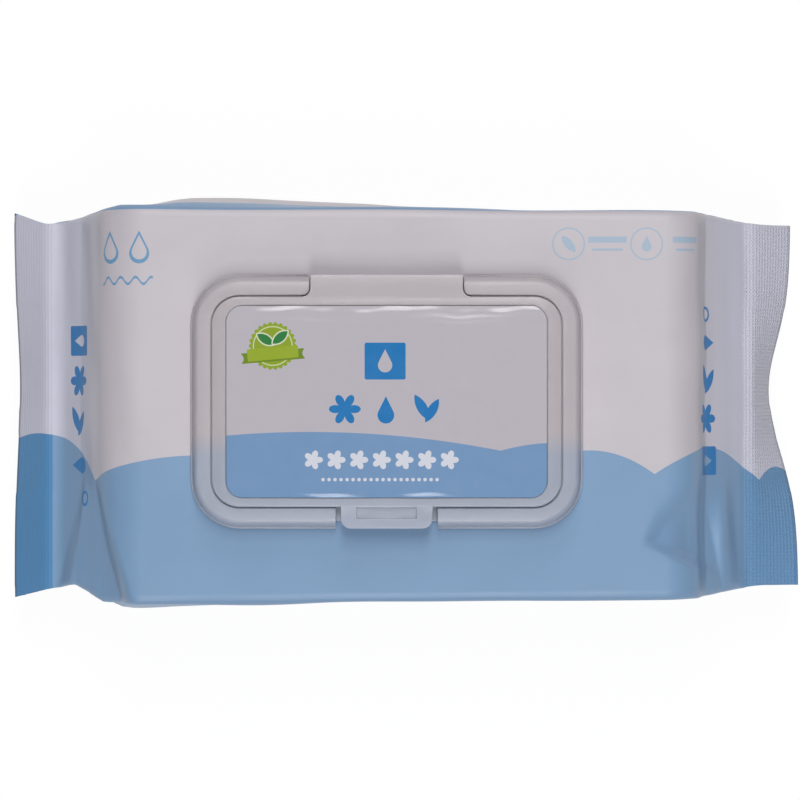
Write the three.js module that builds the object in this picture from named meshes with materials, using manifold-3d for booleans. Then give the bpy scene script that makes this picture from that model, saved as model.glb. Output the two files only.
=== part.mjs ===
// Wet wipes pack: a printed film pouch lying on its back, with a flip lid on the front.
// Millimetres, +Z up through the lid, +X along the pack, origin under the middle of the pack.
import * as THREE from "three";
import { mergeVertices } from "three/addons/utils/BufferGeometryUtils.js";
import Module from "manifold-3d";

const wasm = await Module();
wasm.setup();

// Wipes.
const STACK_LENGTH = 149;
const STACK_GAP = 0.3; // above and below the stack
const STACK_SIDE_GAP = 1;
const STACK_END_RADIUS = 14;
const STACK_EDGE_RADIUS = 3;
const FOLD_STEP = 0.4; // the folded edge of the top wipe
const FOLD_Y = 4;
const FOLD_EDGE = 0.3;
const HALF_STACK = STACK_LENGTH / 2;

// Pouch.
const PACK_THICKNESS = 52;
const FILM = 0.6; // stand-in for a film of about 0.08 mm
const SEAL_HALF = 0.6; // half the thickness of the end seals
const SEAL_WIDTH = 13.2; // along the film, from the tucked end to the cut edge
const SEAL_BEND = 3; // length over which an end seal turns down
const EDGE_RADIUS = 2.5; // the long edges of the pouch
const THIN_EDGE_RADIUS = 1.35; // where the pouch is only THIN_HEIGHT half thick
const THIN_HEIGHT = 1.5;
const EDGE_RADIUS_GROWTH = 0.18;
const HALF_WIDTH_LEFT = 52.1;
const HALF_WIDTH_RIGHT = HALF_WIDTH_LEFT - 1.5;
const HALF_WIDTH_RIGHT_SEAL = HALF_WIDTH_RIGHT - 2.6;
const STACK_WIDTH = 2 * (HALF_WIDTH_RIGHT - FILM - STACK_SIDE_GAP);
const HALF_THICKNESS = PACK_THICKNESS / 2;
// Both long edges are pinched in beside the left seal, to a point from which they run straight out
// again: over one length towards the middle of the pouch and over another towards the seal.
const FRONT_PINCH = { depth: 4.6, at: -HALF_STACK - 13.3, inner: 8.1, outer: 21.4 };
const BACK_PINCH = { depth: 4.1, at: -HALF_STACK - 20.8, inner: 20.9, outer: 14 };
const PINCH_ROUND = 0.06; // share of those lengths over which the point is rounded
// Where the right end narrows to the width of its seal.
const RIGHT_TAPER = [HALF_STACK + 1.5, HALF_STACK + 22.5];
// Both long sides stand out near their left ends: rising and fading between shares of the half length.
const FAR_BULGE = { depth: 3.2, rises: [-1, -0.75], fades: [-0.75, 0.55] };
const FRONT_BULGE = { depth: 1.5, rises: [-1.15, -1], fades: [-1, 0.4] };

// Where the flat front stops at each end, the radii of shoulder, knee and foot,
// the height of the drop, and the angles of the drop and of the slope below it in degrees.
const LEFT_END = {
  side: -1,
  flat: HALF_STACK - 12.8,
  shoulder: 21.5,
  steep: 58,
  drop: 8.5,
  knee: 4,
  slope: 42,
  foot: 5,
};
const RIGHT_END = {
  side: 1,
  flat: HALF_STACK - 5.3,
  shoulder: 9,
  steep: 72,
  drop: 4.8,
  knee: 3,
  slope: 56,
  foot: 5,
};
// How far each end seal turns down in its middle and at its far and front edges, in degrees,
// and how widely the turn spreads to either side of the middle.
const LEFT_SEAL_TURN = { middle: 53, far: 42, front: 42, farSpread: 24, frontSpread: 24 };
const RIGHT_SEAL_TURN = { middle: 66, far: 32, front: 5, farSpread: 20, frontSpread: 29 };
const SEAL_TURN_Y = 4;
const SEAL_STEPS = [1.2, SEAL_BEND, 7.5, SEAL_WIDTH];

// The sides tuck in between front and back, beyond the wipes.
const GUSSET_DEPTH = 16;
const GUSSET_FROM = HALF_STACK + 0.5;
const GUSSET_RUN = 11;
const GUSSET_HEIGHTS = [2.4, 11]; // half heights between which the tuck comes back out towards the seal
const FOLDED_HEIGHT = 7; // half height under which an end is modelled as one pad of folded film
const TUCKED_HEIGHT = 13; // half height under which the hollow is narrower
const TUCKED_SHARE = 0.64;

// Back of the pouch: a shallow channel with the folded fin seal in it.
const CHANNEL_HALF = 8;
const CHANNEL_DEPTH = 0.6;
const FIN_FROM = -1.3;
const FIN_WIDTH = 7.5;
const FIN_THICKNESS = 0.45;
const STEP_WIDTH = 0.3;

// Lid base, around the middle of the lid and above the film.
const LID_X = -4.8;
const LID_Y = 0.85;
const GLUE_GAP = 0.3;
const BASE_LENGTH = 102;
const BASE_WIDTH = 66;
const BASE_CORNER = 13;
const FLANGE_WIDTH = 0.6;
const FLANGE_THICKNESS = 0.8;
const FLANGE_EDGE = 0.25;
const FLOOR_THICKNESS = 1.2;
const BORDER_WIDTH = 5.55; // from the outer edge to the lid's edge
const BORDER_TOP = 6;
const BORDER_EDGE = 0.3;
const BORDER_ROUND = 1.9; // width over which the outside of the border rounds over to its top
const LEDGE_WIDTH = 0.9; // under the lid's edge, inside the border
const GROOVE = [2.2, 5]; // hollow under the border, measured from the outer edge
const GROOVE_ROOF = 1.5;
const GROOVE_CHAMFER = [0.3, 0.8];
const RIM_LENGTH = 60;
const RIM_WIDTH = 34;
const RIM_CORNER = 12;
const RIM_WALL = 1.2;
const RIM_EDGE = 0.3;
const HOLE_INSET = 2; // the film's edge inside the rim
const HOLE_CUT = 5;
const HINGE_WALL = 1.4;
const HINGE_WALL_INSET = 0.1;
const WEB_WIDTH = 2; // the notch in the flange under the tab
const CATCH_WIDTH = 12;
const CATCH_WALL = 1;
const CATCH_STEP = 0.6;
const CATCH_BELOW = 2;
const HOOK_INSET = 0.4;

// Flip lid and label.
const LID_GAP = 0.3;
const LID_PLATE = 1.2;
const LID_RISE = 0.8; // lid top above the border
const LID_EDGE = 0.35;
const SKIRT_INSET = 1.3; // from the lid's edge
const SKIRT_WALL = 1;
const SKIRT_DEPTH = 2.6;
const RING_WALL = 0.9;
const RING_GAP = 0.4;
const RING_DEPTH = 2;
const STRAP_WIDTH = 39.4;
const STRAP_THICKNESS = 1;
const STRAP_FILLET = 2.2;
const HINGE_INSET = 0.6;
const HINGE_Y = BASE_WIDTH / 2 - HINGE_INSET;
const TAB_WIDTH = 23.7;
const TAB_REACH = 5.6;
const TAB_THICKNESS = 1.4;
const TAB_SLOT = 1.3;
const TAB_CORNER = 2.6;
const TAB_DROP = 0.1;
const TAB_RECESS = { length: 15.5, width: 3, depth: 0.5, inset: 0.1 };
const LABEL_MARGIN_X = 3.85;
const LABEL_MARGIN_Y = 2.55;
const LABEL_CORNER = 4.2;
const LABEL_THICKNESS = 0.25;
const LABEL_RECESS = 0.5;
const LABEL_EDGE_GAP = 0.3;

const LID_TOP = BORDER_TOP + LID_RISE;
const LID_UNDER = LID_TOP - LID_PLATE;
const WELL_Y = BASE_WIDTH / 2 - BORDER_WIDTH;
const LID_EDGE_Y = WELL_Y - LID_GAP;
const LID_LENGTH = BASE_LENGTH - 2 * (BORDER_WIDTH + LID_GAP);
const LID_WIDTH = 2 * LID_EDGE_Y;
const LABEL_LENGTH = LID_LENGTH - 2 * LABEL_MARGIN_X;
const LABEL_WIDTH = LID_WIDTH - 2 * LABEL_MARGIN_Y;

const CORNER_STEPS = 10;
const FILLET_STEPS = 5;
const BEAD_SIDES = 14;
const WELD = 1e-4;
const OVERLAP = 0.5; // how far joined pieces reach into each other
const CLEAR = 1; // how far a cut runs past what it cuts

function smooth(from, to, value) {
  const t = Math.min(1, Math.max(0, (value - from) / (to - from)));
  return t * t * (3 - 2 * t);
}

function bell(value, middle, spread) {
  return Math.exp(-(((value - middle) / spread) ** 2));
}

// 1 at the point of a pinch, falling straight to 0 on both sides.
function wedge(x, pinch) {
  const run = x > pinch.at ? pinch.inner : pinch.outer;
  return Math.max(0, 1 - Math.hypot((x - pinch.at) / run, PINCH_ROUND));
}

function solid(geometry) {
  const plain = geometry.clone();
  plain.deleteAttribute("normal");
  plain.deleteAttribute("uv");
  const merged = mergeVertices(plain, WELD);
  const mesh = new wasm.Mesh({
    numProp: 3,
    vertProperties: new Float32Array(merged.attributes.position.array),
    triVerts: new Uint32Array(merged.index.array),
  });
  return new wasm.Manifold(mesh);
}

function solidFromLists(points, faces) {
  const geometry = new THREE.BufferGeometry();
  geometry.setAttribute("position", new THREE.Float32BufferAttribute(points.flat(), 3));
  geometry.setIndex(faces.flat());
  return solid(geometry);
}

function meshOf(body, name, material) {
  const data = body.getMesh();
  const positions = new Float32Array(data.numVert * 3);
  for (let i = 0; i < data.numVert; i++) {
    const at = i * data.numProp;
    positions.set(data.vertProperties.subarray(at, at + 3), i * 3);
  }
  const geometry = new THREE.BufferGeometry();
  geometry.setAttribute("position", new THREE.BufferAttribute(positions, 3));
  geometry.setIndex(new THREE.BufferAttribute(data.triVerts, 1));
  geometry.computeVertexNormals();
  const mesh = new THREE.Mesh(geometry, material);
  mesh.name = name;
  return mesh;
}

function boxBetween(low, high) {
  const size = high.map((value, i) => value - low[i]);
  const geometry = new THREE.BoxGeometry(...size);
  geometry.translate(...low.map((value, i) => value + size[i] / 2));
  return solid(geometry);
}

// A rounded rectangle as a ring of points at one height, counter-clockwise from above.
function roundedRing(length, width, corner, z) {
  const ring = [];
  const reachX = length / 2 - corner;
  const reachY = width / 2 - corner;
  const signs = [[1, 1], [-1, 1], [-1, -1], [1, -1]];
  signs.forEach(([signX, signY], quarter) => {
    for (let i = 0; i <= CORNER_STEPS; i++) {
      const angle = ((quarter + i / CORNER_STEPS) * Math.PI) / 2;
      ring.push([
        signX * reachX + corner * Math.cos(angle),
        signY * reachY + corner * Math.sin(angle),
        z,
      ]);
    }
  });
  return ring;
}

// Faces between neighbouring rings. The rings climb the outside of the body.
function ringFaces(rings, isLoop) {
  const faces = [];
  const count = rings[0].length;
  const last = isLoop ? rings.length : rings.length - 1;
  for (let i = 0; i < last; i++) {
    const low = i * count;
    const high = ((i + 1) % rings.length) * count;
    for (let j = 0; j < count; j++) {
      const next = (j + 1) % count;
      faces.push([low + j, low + next, high + next], [low + j, high + next, high + j]);
    }
  }
  return faces;
}

// A body whose rings make a closed loop, such as a frame.
function frameBody(rings) {
  return solidFromLists(rings.flat(), ringFaces(rings, true));
}

// A body whose first ring is closed from below and whose last ring is closed from above.
function plateBody(rings) {
  const points = rings.flat();
  const faces = ringFaces(rings, false);
  const count = rings[0].length;
  const top = (rings.length - 1) * count;
  const lowMiddle = points.push([0, 0, rings[0][0][2]]) - 1;
  const highMiddle = points.push([0, 0, rings[rings.length - 1][0][2]]) - 1;
  for (let j = 0; j < count; j++) {
    const next = (j + 1) % count;
    faces.push([lowMiddle, next, j], [highMiddle, top + j, top + next]);
  }
  return solidFromLists(points, faces);
}

function extrudeShape(shape, from, to) {
  const geometry = new THREE.ExtrudeGeometry(shape, {
    depth: to - from,
    bevelEnabled: false,
    curveSegments: FILLET_STEPS,
  });
  geometry.translate(0, 0, from);
  return solid(geometry);
}

// Stations of one end, from the flat front out to the seal: distance from the middle and half height.
// The film turns over a shoulder, drops, turns out again at a knee, and runs down to its foot at the seal.
function endProfile(end) {
  const steep = (end.steep * Math.PI) / 180;
  const slope = (end.slope * Math.PI) / 180;
  const stations = [];
  for (const part of [0, 0.28, 0.5, 0.68, 0.84, 1]) {
    const angle = steep * part;
    stations.push([
      end.flat + end.shoulder * Math.sin(angle),
      HALF_THICKNESS - end.shoulder * (1 - Math.cos(angle)),
    ]);
  }
  const step = (run, drop) => {
    const [x, h] = stations.at(-1);
    stations.push([x + run, h - drop]);
  };
  step(end.drop / Math.tan(steep), end.drop);
  const turn = (radius, from, to) =>
    step(radius * (Math.sin(from) - Math.sin(to)), radius * (Math.cos(to) - Math.cos(from)));
  turn(end.knee, steep, (steep + slope) / 2);
  turn(end.knee, (steep + slope) / 2, slope);
  const footDrop = end.foot * (1 - Math.cos(slope));
  const left = stations.at(-1)[1] - SEAL_HALF - footDrop;
  step(left / 2 / Math.tan(slope), left / 2);
  step(left / 2 / Math.tan(slope), left / 2);
  for (const part of [1, 0.66, 0.33]) turn(end.foot, slope * part, slope * Math.max(0, part - 0.335));
  stations.at(-1)[1] = SEAL_HALF;
  return stations;
}

// Half width of the pouch along its length: an even taper, less at the right seal, and the pinches.
function halfWidth(x, signY) {
  const along = Math.min(1, Math.max(0, (x / HALF_STACK + 1) / 2));
  const pinch = signY > 0 ? BACK_PINCH : FRONT_PINCH;
  return (
    HALF_WIDTH_LEFT +
    (HALF_WIDTH_RIGHT - HALF_WIDTH_LEFT) * along -
    (HALF_WIDTH_RIGHT - HALF_WIDTH_RIGHT_SEAL) * smooth(...RIGHT_TAPER, x) -
    pinch.depth * wedge(x, pinch)
  );
}

// How far a long side stands out between its edges.
function sideBulge(x, signY) {
  const along = x / HALF_STACK;
  const bulge = signY > 0 ? FAR_BULGE : FRONT_BULGE;
  return bulge.depth * smooth(...bulge.rises, along) * (1 - smooth(...bulge.fades, along));
}

function gussetDepth(x, halfHeight) {
  const opens = smooth(GUSSET_FROM, GUSSET_FROM + GUSSET_RUN, Math.abs(x));
  return GUSSET_DEPTH * opens * smooth(...GUSSET_HEIGHTS, halfHeight);
}

// The points of one section, each with a kind, its place on it, and how deep it lies in the back's channel.
function sectionSlots() {
  const slots = [];
  const sideSteps = [-1, -0.62, -0.28, 0, 0.28, 0.62, 1];
  const topSteps = [1, 0.9, 0.76, 0.56, 0.3, 0, -0.3, -0.56, -0.76, -0.9, -1];
  const backSteps = [-1, -0.84, -0.56, -0.3];
  const corner = (signY, signZ, angles) => {
    for (const angle of angles) slots.push({ kind: "corner", signY, signZ, angle });
  };
  for (const step of sideSteps) slots.push({ kind: "side", signY: 1, step });
  corner(1, 1, [30, 60]);
  for (const step of topSteps) slots.push({ kind: "top", step });
  corner(-1, 1, [60, 30]);
  for (const step of [...sideSteps].reverse()) slots.push({ kind: "side", signY: -1, step });
  corner(-1, -1, [30, 60]);
  for (const step of backSteps) slots.push({ kind: "back", step });
  const finTo = FIN_FROM + FIN_WIDTH;
  const channel = [
    [-CHANNEL_HALF, 0, CHANNEL_DEPTH],
    [STEP_WIDTH - CHANNEL_HALF, CHANNEL_DEPTH, CHANNEL_DEPTH],
    [FIN_FROM - STEP_WIDTH, CHANNEL_DEPTH, CHANNEL_DEPTH],
    [FIN_FROM, CHANNEL_DEPTH - FIN_THICKNESS, CHANNEL_DEPTH],
    [finTo, CHANNEL_DEPTH - FIN_THICKNESS, CHANNEL_DEPTH],
    [finTo + STEP_WIDTH, CHANNEL_DEPTH, CHANNEL_DEPTH],
    [CHANNEL_HALF - STEP_WIDTH, CHANNEL_DEPTH, CHANNEL_DEPTH],
    [CHANNEL_HALF, 0, CHANNEL_DEPTH],
  ];
  for (const [y, depth, insideDepth] of channel) slots.push({ kind: "channel", y, depth, insideDepth });
  for (const step of [...backSteps].reverse()) slots.push({ kind: "back", step: -step });
  corner(1, -1, [60, 30]);
  return slots;
}

// The edges are rounder where the pouch is thick.
function edgeRadius(halfHeight) {
  if (halfHeight < THIN_HEIGHT) return (THIN_EDGE_RADIUS / THIN_HEIGHT) * halfHeight;
  return Math.min(EDGE_RADIUS, THIN_EDGE_RADIUS + EDGE_RADIUS_GROWTH * (halfHeight - THIN_HEIGHT));
}

// Place of one slot on the section: across the pack, and above its middle plane.
function slotPlace(slot, x, halfHeight) {
  const radius = edgeRadius(halfHeight);
  const signY = slot.kind === "top" || slot.kind === "back" ? Math.sign(slot.step) : slot.signY;
  const width = halfWidth(x, signY);
  const low = halfHeight - radius;
  if (slot.kind === "top") return [slot.step * (width - radius), halfHeight];
  if (slot.kind === "back") return [slot.step * (width - radius), -halfHeight];
  if (slot.kind === "channel") return [slot.y, -halfHeight];
  if (slot.kind === "corner") {
    const angle = (slot.angle * Math.PI) / 180;
    return [
      slot.signY * (width - radius + radius * Math.cos(angle)),
      slot.signZ * (low + radius * Math.sin(angle)),
    ];
  }
  const fold = gussetDepth(x, halfHeight) * (1 - Math.abs(slot.step));
  const bulge = sideBulge(x, slot.signY) * (1 - slot.step ** 2);
  return [slot.signY * (width + bulge - fold), slot.step * low];
}

// Place of a point on an end seal that turns down along its width.
function sealPlace(end, start, along, y, above) {
  const turns = end.side < 0 ? LEFT_SEAL_TURN : RIGHT_SEAL_TURN;
  const isFar = y > SEAL_TURN_Y;
  const edge = isFar ? turns.far : turns.front;
  const inMiddle = bell(y, SEAL_TURN_Y, isFar ? turns.farSpread : turns.frontSpread);
  const turn = ((edge + (turns.middle - edge) * inMiddle) * Math.PI) / 180;
  const bent = Math.min(along, SEAL_BEND);
  const angle = (turn * bent) / SEAL_BEND;
  const radius = SEAL_BEND / turn;
  const straight = along - bent;
  const out = radius * Math.sin(angle) + straight * Math.cos(turn) + above * Math.sin(angle);
  const up = -radius * (1 - Math.cos(angle)) - straight * Math.sin(turn) + above * Math.cos(angle);
  return [end.side * (start + out), y, HALF_THICKNESS + up];
}

function sealRings(end, start, slots) {
  return SEAL_STEPS.map((along) =>
    slots.map((slot) => {
      const [y, above] = slotPlace(slot, end.side * (start + along), SEAL_HALF);
      return sealPlace(end, start, along, y, above);
    }),
  );
}

function endRings(end, slots) {
  return endProfile(end).map(([distance, halfHeight]) =>
    slots.map((slot) => {
      const [y, above] = slotPlace(slot, end.side * distance, halfHeight);
      return [end.side * distance, y, HALF_THICKNESS + above];
    }),
  );
}

// Unit normals of a grid of rings that run along x.
function ringNormals(rings) {
  const count = rings[0].length;
  const corner = new THREE.Vector3();
  const normals = rings.map((ring) => ring.map(() => new THREE.Vector3()));
  for (let i = 0; i + 1 < rings.length; i++) {
    for (let j = 0; j < count; j++) {
      const next = (j + 1) % count;
      const a = new THREE.Vector3(...rings[i][j]);
      const b = new THREE.Vector3(...rings[i][next]);
      const c = new THREE.Vector3(...rings[i + 1][next]);
      const d = new THREE.Vector3(...rings[i + 1][j]);
      corner.copy(c.clone().sub(a)).cross(d.clone().sub(b)).normalize();
      const corners = [[i, j], [i, next], [i + 1, next], [i + 1, j]];
      for (const [ring, slot] of corners) normals[ring][slot].add(corner);
    }
  }
  return normals.map((ring) => ring.map((normal) => normal.normalize()));
}

function sunkRings(rings, normals, depthOf) {
  return rings.map((ring, i) =>
    ring.map((point, j) => {
      const depth = depthOf(i, j);
      const normal = normals[i][j];
      return [point[0] - depth * normal.x, point[1] - depth * normal.y, point[2] - depth * normal.z];
    }),
  );
}

// Triangles that close a flat ring, between its upper and its lower row of points.
function zipFaces(order, upper, lower, across) {
  const faces = [];
  let i = 0;
  let j = 0;
  while (i < upper.length - 1 || j < lower.length - 1) {
    const upperFirst =
      j === lower.length - 1 || (i < upper.length - 1 && across(upper[i + 1]) <= across(lower[j + 1]));
    if (upperFirst) {
      if (upper[i + 1] !== lower[j]) faces.push([upper[i], lower[j], upper[i + 1]]);
      i++;
    } else {
      if (lower[j + 1] !== upper[i]) faces.push([upper[i], lower[j], lower[j + 1]]);
      j++;
    }
  }
  return order > 0 ? faces : faces.map(([a, b, c]) => [a, c, b]);
}

// The closed body inside a row of rings along x, with both ends closed.
function tubeBody(rings, slots) {
  const count = slots.length;
  const faces = ringFaces(rings, false);
  const leftMiddle = slots.findIndex((slot) => slot.kind === "side" && slot.signY < 0 && slot.step === 0);
  const rightMiddle = slots.findIndex((slot) => slot.kind === "side" && slot.signY > 0 && slot.step === 0);
  const upper = [];
  for (let j = leftMiddle; j >= rightMiddle; j--) upper.push(j);
  const lower = [];
  for (let j = leftMiddle; j <= rightMiddle + count; j++) lower.push(j % count);
  for (const [ring, order] of [[0, -1], [rings.length - 1, 1]]) {
    const across = (j) => rings[ring][j][1];
    const found = zipFaces(order, upper, lower, across);
    faces.push(...found.map((face) => face.map((j) => ring * count + j)));
  }
  return solidFromLists(rings.flat(), faces);
}

// The hollow stops where front, back and tucked sides lie together, and is narrower beside the tucks.
function cavityRings(rings, slots) {
  const topSlot = slots.findIndex((slot) => slot.kind === "top" && slot.step === 0);
  const heightOf = (ring) => ring[topSlot][2] - HALF_THICKNESS;
  return rings
    .filter((ring) => heightOf(ring) > FOLDED_HEIGHT)
    .map((ring) => {
      if (heightOf(ring) > TUCKED_HEIGHT) return ring;
      return ring.map(([x, y, z]) => [x, y * TUCKED_SHARE, z]);
    });
}

function filmPouch() {
  const slots = sectionSlots();
  const leftStart = endProfile(LEFT_END).at(-1)[0];
  const rightStart = endProfile(RIGHT_END).at(-1)[0];
  const middles = [-0.75, -0.4, 0, 0.45].map((share) => {
    const x = share * HALF_STACK;
    return slots.map((slot) => {
      const [y, above] = slotPlace(slot, x, HALF_THICKNESS);
      return [x, y, HALF_THICKNESS + above];
    });
  });
  const rings = [
    ...sealRings(LEFT_END, leftStart, slots).reverse(),
    ...endRings(LEFT_END, slots).reverse(),
    ...middles,
    ...endRings(RIGHT_END, slots),
    ...sealRings(RIGHT_END, rightStart, slots),
  ];
  const normals = ringNormals(rings);
  const outer = sunkRings(rings, normals, (i, j) => slots[j].depth ?? 0);
  const inner = sunkRings(rings, normals, (i, j) => FILM + (slots[j].insideDepth ?? 0));
  const body = tubeBody(outer, slots);
  const cavity = tubeBody(cavityRings(inner, slots), slots);
  const hole = plateBody([
    rimRing(-HOLE_INSET, PACK_THICKNESS - HOLE_CUT),
    rimRing(-HOLE_INSET, PACK_THICKNESS + CLEAR),
  ]).translate([LID_X, LID_Y, 0]);
  return body.subtract(cavity).subtract(hole);
}

function wipesStack() {
  const bottom = CHANNEL_DEPTH + FILM + STACK_GAP;
  const top = PACK_THICKNESS - FILM - STACK_GAP;
  const middle = (top + bottom) / 2;
  const halfHeight = (top - bottom) / 2;
  const stations = [];
  for (const part of [1, 0.78, 0.55, 0.3, 0]) {
    const angle = (part * Math.PI) / 2;
    stations.push([
      HALF_STACK - STACK_END_RADIUS + STACK_END_RADIUS * Math.sin(angle),
      halfHeight - STACK_END_RADIUS * (1 - Math.cos(angle)),
    ]);
  }
  const all = [...stations.map(([x, h]) => [-x, h]), ...stations.reverse()];
  const rings = all.map(([x, h]) => {
    const edge = STACK_WIDTH / 2;
    const radius = STACK_EDGE_RADIUS;
    const points = [];
    for (const [signY, signZ, from] of [[1, 1, 0], [-1, 1, 1], [-1, -1, 2], [1, -1, 3]]) {
      for (let i = 0; i <= 3; i++) {
        const angle = ((from + i / 3) * Math.PI) / 2;
        const lowered = signZ > 0 && signY > 0 ? FOLD_STEP : 0;
        points.push([
          x,
          signY * (edge - radius) + radius * Math.cos(angle),
          middle + signZ * (h - radius) + radius * Math.sin(angle) - lowered,
        ]);
      }
      if (from === 0) {
        points.push([x, FOLD_Y + FOLD_EDGE, middle + h - FOLD_STEP]);
        points.push([x, FOLD_Y, middle + h]);
      }
    }
    return points;
  });
  const points = rings.flat();
  const faces = ringFaces(rings, false);
  const count = rings[0].length;
  const last = (rings.length - 1) * count;
  const leftMiddle = points.push([-HALF_STACK, 0, middle]) - 1;
  const rightMiddle = points.push([HALF_STACK, 0, middle]) - 1;
  for (let j = 0; j < count; j++) {
    const next = (j + 1) % count;
    faces.push([leftMiddle, next, j], [rightMiddle, last + j, last + next]);
  }
  return solidFromLists(points, faces);
}

function shrunk(inset, corner, z) {
  return roundedRing(BASE_LENGTH - 2 * inset, BASE_WIDTH - 2 * inset, corner - inset, z);
}

function rimRing(out, z) {
  return roundedRing(RIM_LENGTH + 2 * out, RIM_WIDTH + 2 * out, RIM_CORNER + out, z);
}

// Outline of the hinge strap, grown by a gap, from inside the lid's rear edge to the hinge.
function strapShape(gap, from, to) {
  const half = STRAP_WIDTH / 2 + gap;
  const fillet = STRAP_FILLET - gap;
  const centreY = LID_EDGE_Y + STRAP_FILLET;
  const shape = new THREE.Shape();
  shape.moveTo(-half - fillet, from);
  shape.lineTo(-half - fillet, centreY - fillet);
  shape.absarc(-half - fillet, centreY, fillet, -Math.PI / 2, 0, false);
  shape.lineTo(-half, to);
  shape.lineTo(half, to);
  shape.lineTo(half, centreY);
  shape.absarc(half + fillet, centreY, fillet, Math.PI, 1.5 * Math.PI, false);
  shape.lineTo(half + fillet, from);
  shape.closePath();
  return shape;
}

// Flange, border with the groove under it, well floor, and the rim round the opening.
function baseFrame() {
  const bottom = GLUE_GAP;
  const flange = bottom + FLANGE_THICKNESS;
  const floor = bottom + FLOOR_THICKNESS;
  const rise = BORDER_TOP - flange;
  const underLid = LID_UNDER - LID_GAP; // top of the rim and of the ledge
  const border = [0.05, 0.3, 0.5, 0.7, 0.88, 1].map((share) => {
    const angle = (share * Math.PI) / 2;
    const inset = FLANGE_WIDTH + BORDER_ROUND * (1 - Math.cos(angle));
    return shrunk(inset, BASE_CORNER, flange + rise * Math.sin(angle));
  });
  const roof = BORDER_TOP - GROOVE_ROOF;
  return frameBody([
    shrunk(0, BASE_CORNER, bottom),
    shrunk(0, BASE_CORNER, flange - FLANGE_EDGE),
    shrunk(FLANGE_EDGE, BASE_CORNER, flange),
    shrunk(FLANGE_WIDTH, BASE_CORNER, flange),
    ...border,
    shrunk(BORDER_WIDTH - BORDER_EDGE, BASE_CORNER, BORDER_TOP),
    shrunk(BORDER_WIDTH, BASE_CORNER, BORDER_TOP - BORDER_EDGE),
    shrunk(BORDER_WIDTH, BASE_CORNER, underLid),
    shrunk(BORDER_WIDTH + LEDGE_WIDTH, BASE_CORNER, underLid),
    shrunk(BORDER_WIDTH + LEDGE_WIDTH, BASE_CORNER, floor),
    rimRing(RIM_WALL, floor),
    rimRing(RIM_WALL, underLid - RIM_EDGE),
    rimRing(RIM_WALL - RIM_EDGE, underLid),
    rimRing(RIM_EDGE, underLid),
    rimRing(0, underLid - RIM_EDGE),
    rimRing(0, bottom),
    shrunk(GROOVE[1], BASE_CORNER, bottom),
    shrunk(GROOVE[1], BASE_CORNER, roof),
    shrunk(GROOVE[0] + GROOVE_CHAMFER[0], BASE_CORNER, roof - GROOVE_CHAMFER[1]),
    shrunk(GROOVE[0], BASE_CORNER, bottom),
  ]);
}

function lidBase() {
  const floor = GLUE_GAP + FLOOR_THICKNESS;
  const outerY = BASE_WIDTH / 2;
  const wallY = outerY - HINGE_WALL_INSET;
  const wallTop = LID_TOP - STRAP_THICKNESS - LID_GAP;
  const strapHalf = STRAP_WIDTH / 2;
  const tabHalf = TAB_WIDTH / 2 + TAB_SLOT;
  const catchHalf = CATCH_WIDTH / 2;
  const cutTop = BORDER_TOP + CLEAR;
  const strapGap = extrudeShape(strapShape(LID_GAP, WELL_Y - CLEAR, outerY + CLEAR), floor, cutTop);
  const strapFloor = boxBetween(
    [-strapHalf - CLEAR, WELL_Y - CLEAR, GLUE_GAP],
    [strapHalf + CLEAR, wallY, floor],
  );
  const hingeWall = boxBetween([-strapHalf, wallY - HINGE_WALL, GLUE_GAP], [strapHalf, wallY, wallTop]);
  const tabGap = boxBetween([-tabHalf, -outerY - CLEAR, floor], [tabHalf, -WELL_Y + CLEAR, cutTop]);
  const tabNotch = boxBetween([-tabHalf, -outerY - CLEAR, -CLEAR], [tabHalf, -outerY + WEB_WIDTH, cutTop]);
  const web = boxBetween(
    [-tabHalf - CLEAR, -outerY + WEB_WIDTH, GLUE_GAP],
    [tabHalf + CLEAR, -WELL_Y + CLEAR, floor],
  );
  const catchWall = boxBetween(
    [-catchHalf, -WELL_Y - CATCH_STEP - CATCH_WALL, GLUE_GAP],
    [catchHalf, -WELL_Y - CATCH_STEP, BORDER_TOP - CATCH_BELOW],
  );
  return baseFrame()
    .subtract(strapGap)
    .subtract(tabGap)
    .subtract(tabNotch)
    .add(strapFloor)
    .add(web)
    .add(hingeWall)
    .add(catchWall)
    .translate([LID_X, LID_Y, PACK_THICKNESS]);
}

function lidRing(inset, z) {
  const corner = BASE_CORNER - BORDER_WIDTH - LID_GAP - inset;
  return roundedRing(LID_LENGTH - 2 * inset, LID_WIDTH - 2 * inset, corner, z);
}

function labelRing(out, z) {
  return roundedRing(LABEL_LENGTH + 2 * out, LABEL_WIDTH + 2 * out, LABEL_CORNER + out, z);
}

// Plate with the label's recess in its top, and the sealing ring and the skirt under it.
function lidPlate() {
  const skirt = LID_UNDER - SKIRT_DEPTH;
  const ringIn = RIM_WALL + RING_GAP;
  const ringBottom = LID_UNDER - RING_DEPTH;
  return plateBody([
    rimRing(ringIn, LID_UNDER),
    rimRing(ringIn, ringBottom),
    rimRing(ringIn + RING_WALL, ringBottom),
    rimRing(ringIn + RING_WALL, LID_UNDER),
    lidRing(SKIRT_INSET + SKIRT_WALL, LID_UNDER),
    lidRing(SKIRT_INSET + SKIRT_WALL, skirt),
    lidRing(SKIRT_INSET, skirt),
    lidRing(SKIRT_INSET, LID_UNDER),
    lidRing(0, LID_UNDER),
    lidRing(0, LID_TOP - LID_EDGE),
    lidRing(LID_EDGE / 3, LID_TOP - LID_EDGE / 3),
    lidRing(LID_EDGE, LID_TOP),
    labelRing(LABEL_EDGE_GAP, LID_TOP),
    labelRing(LABEL_EDGE_GAP, LID_TOP - LABEL_RECESS),
  ]);
}

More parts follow.
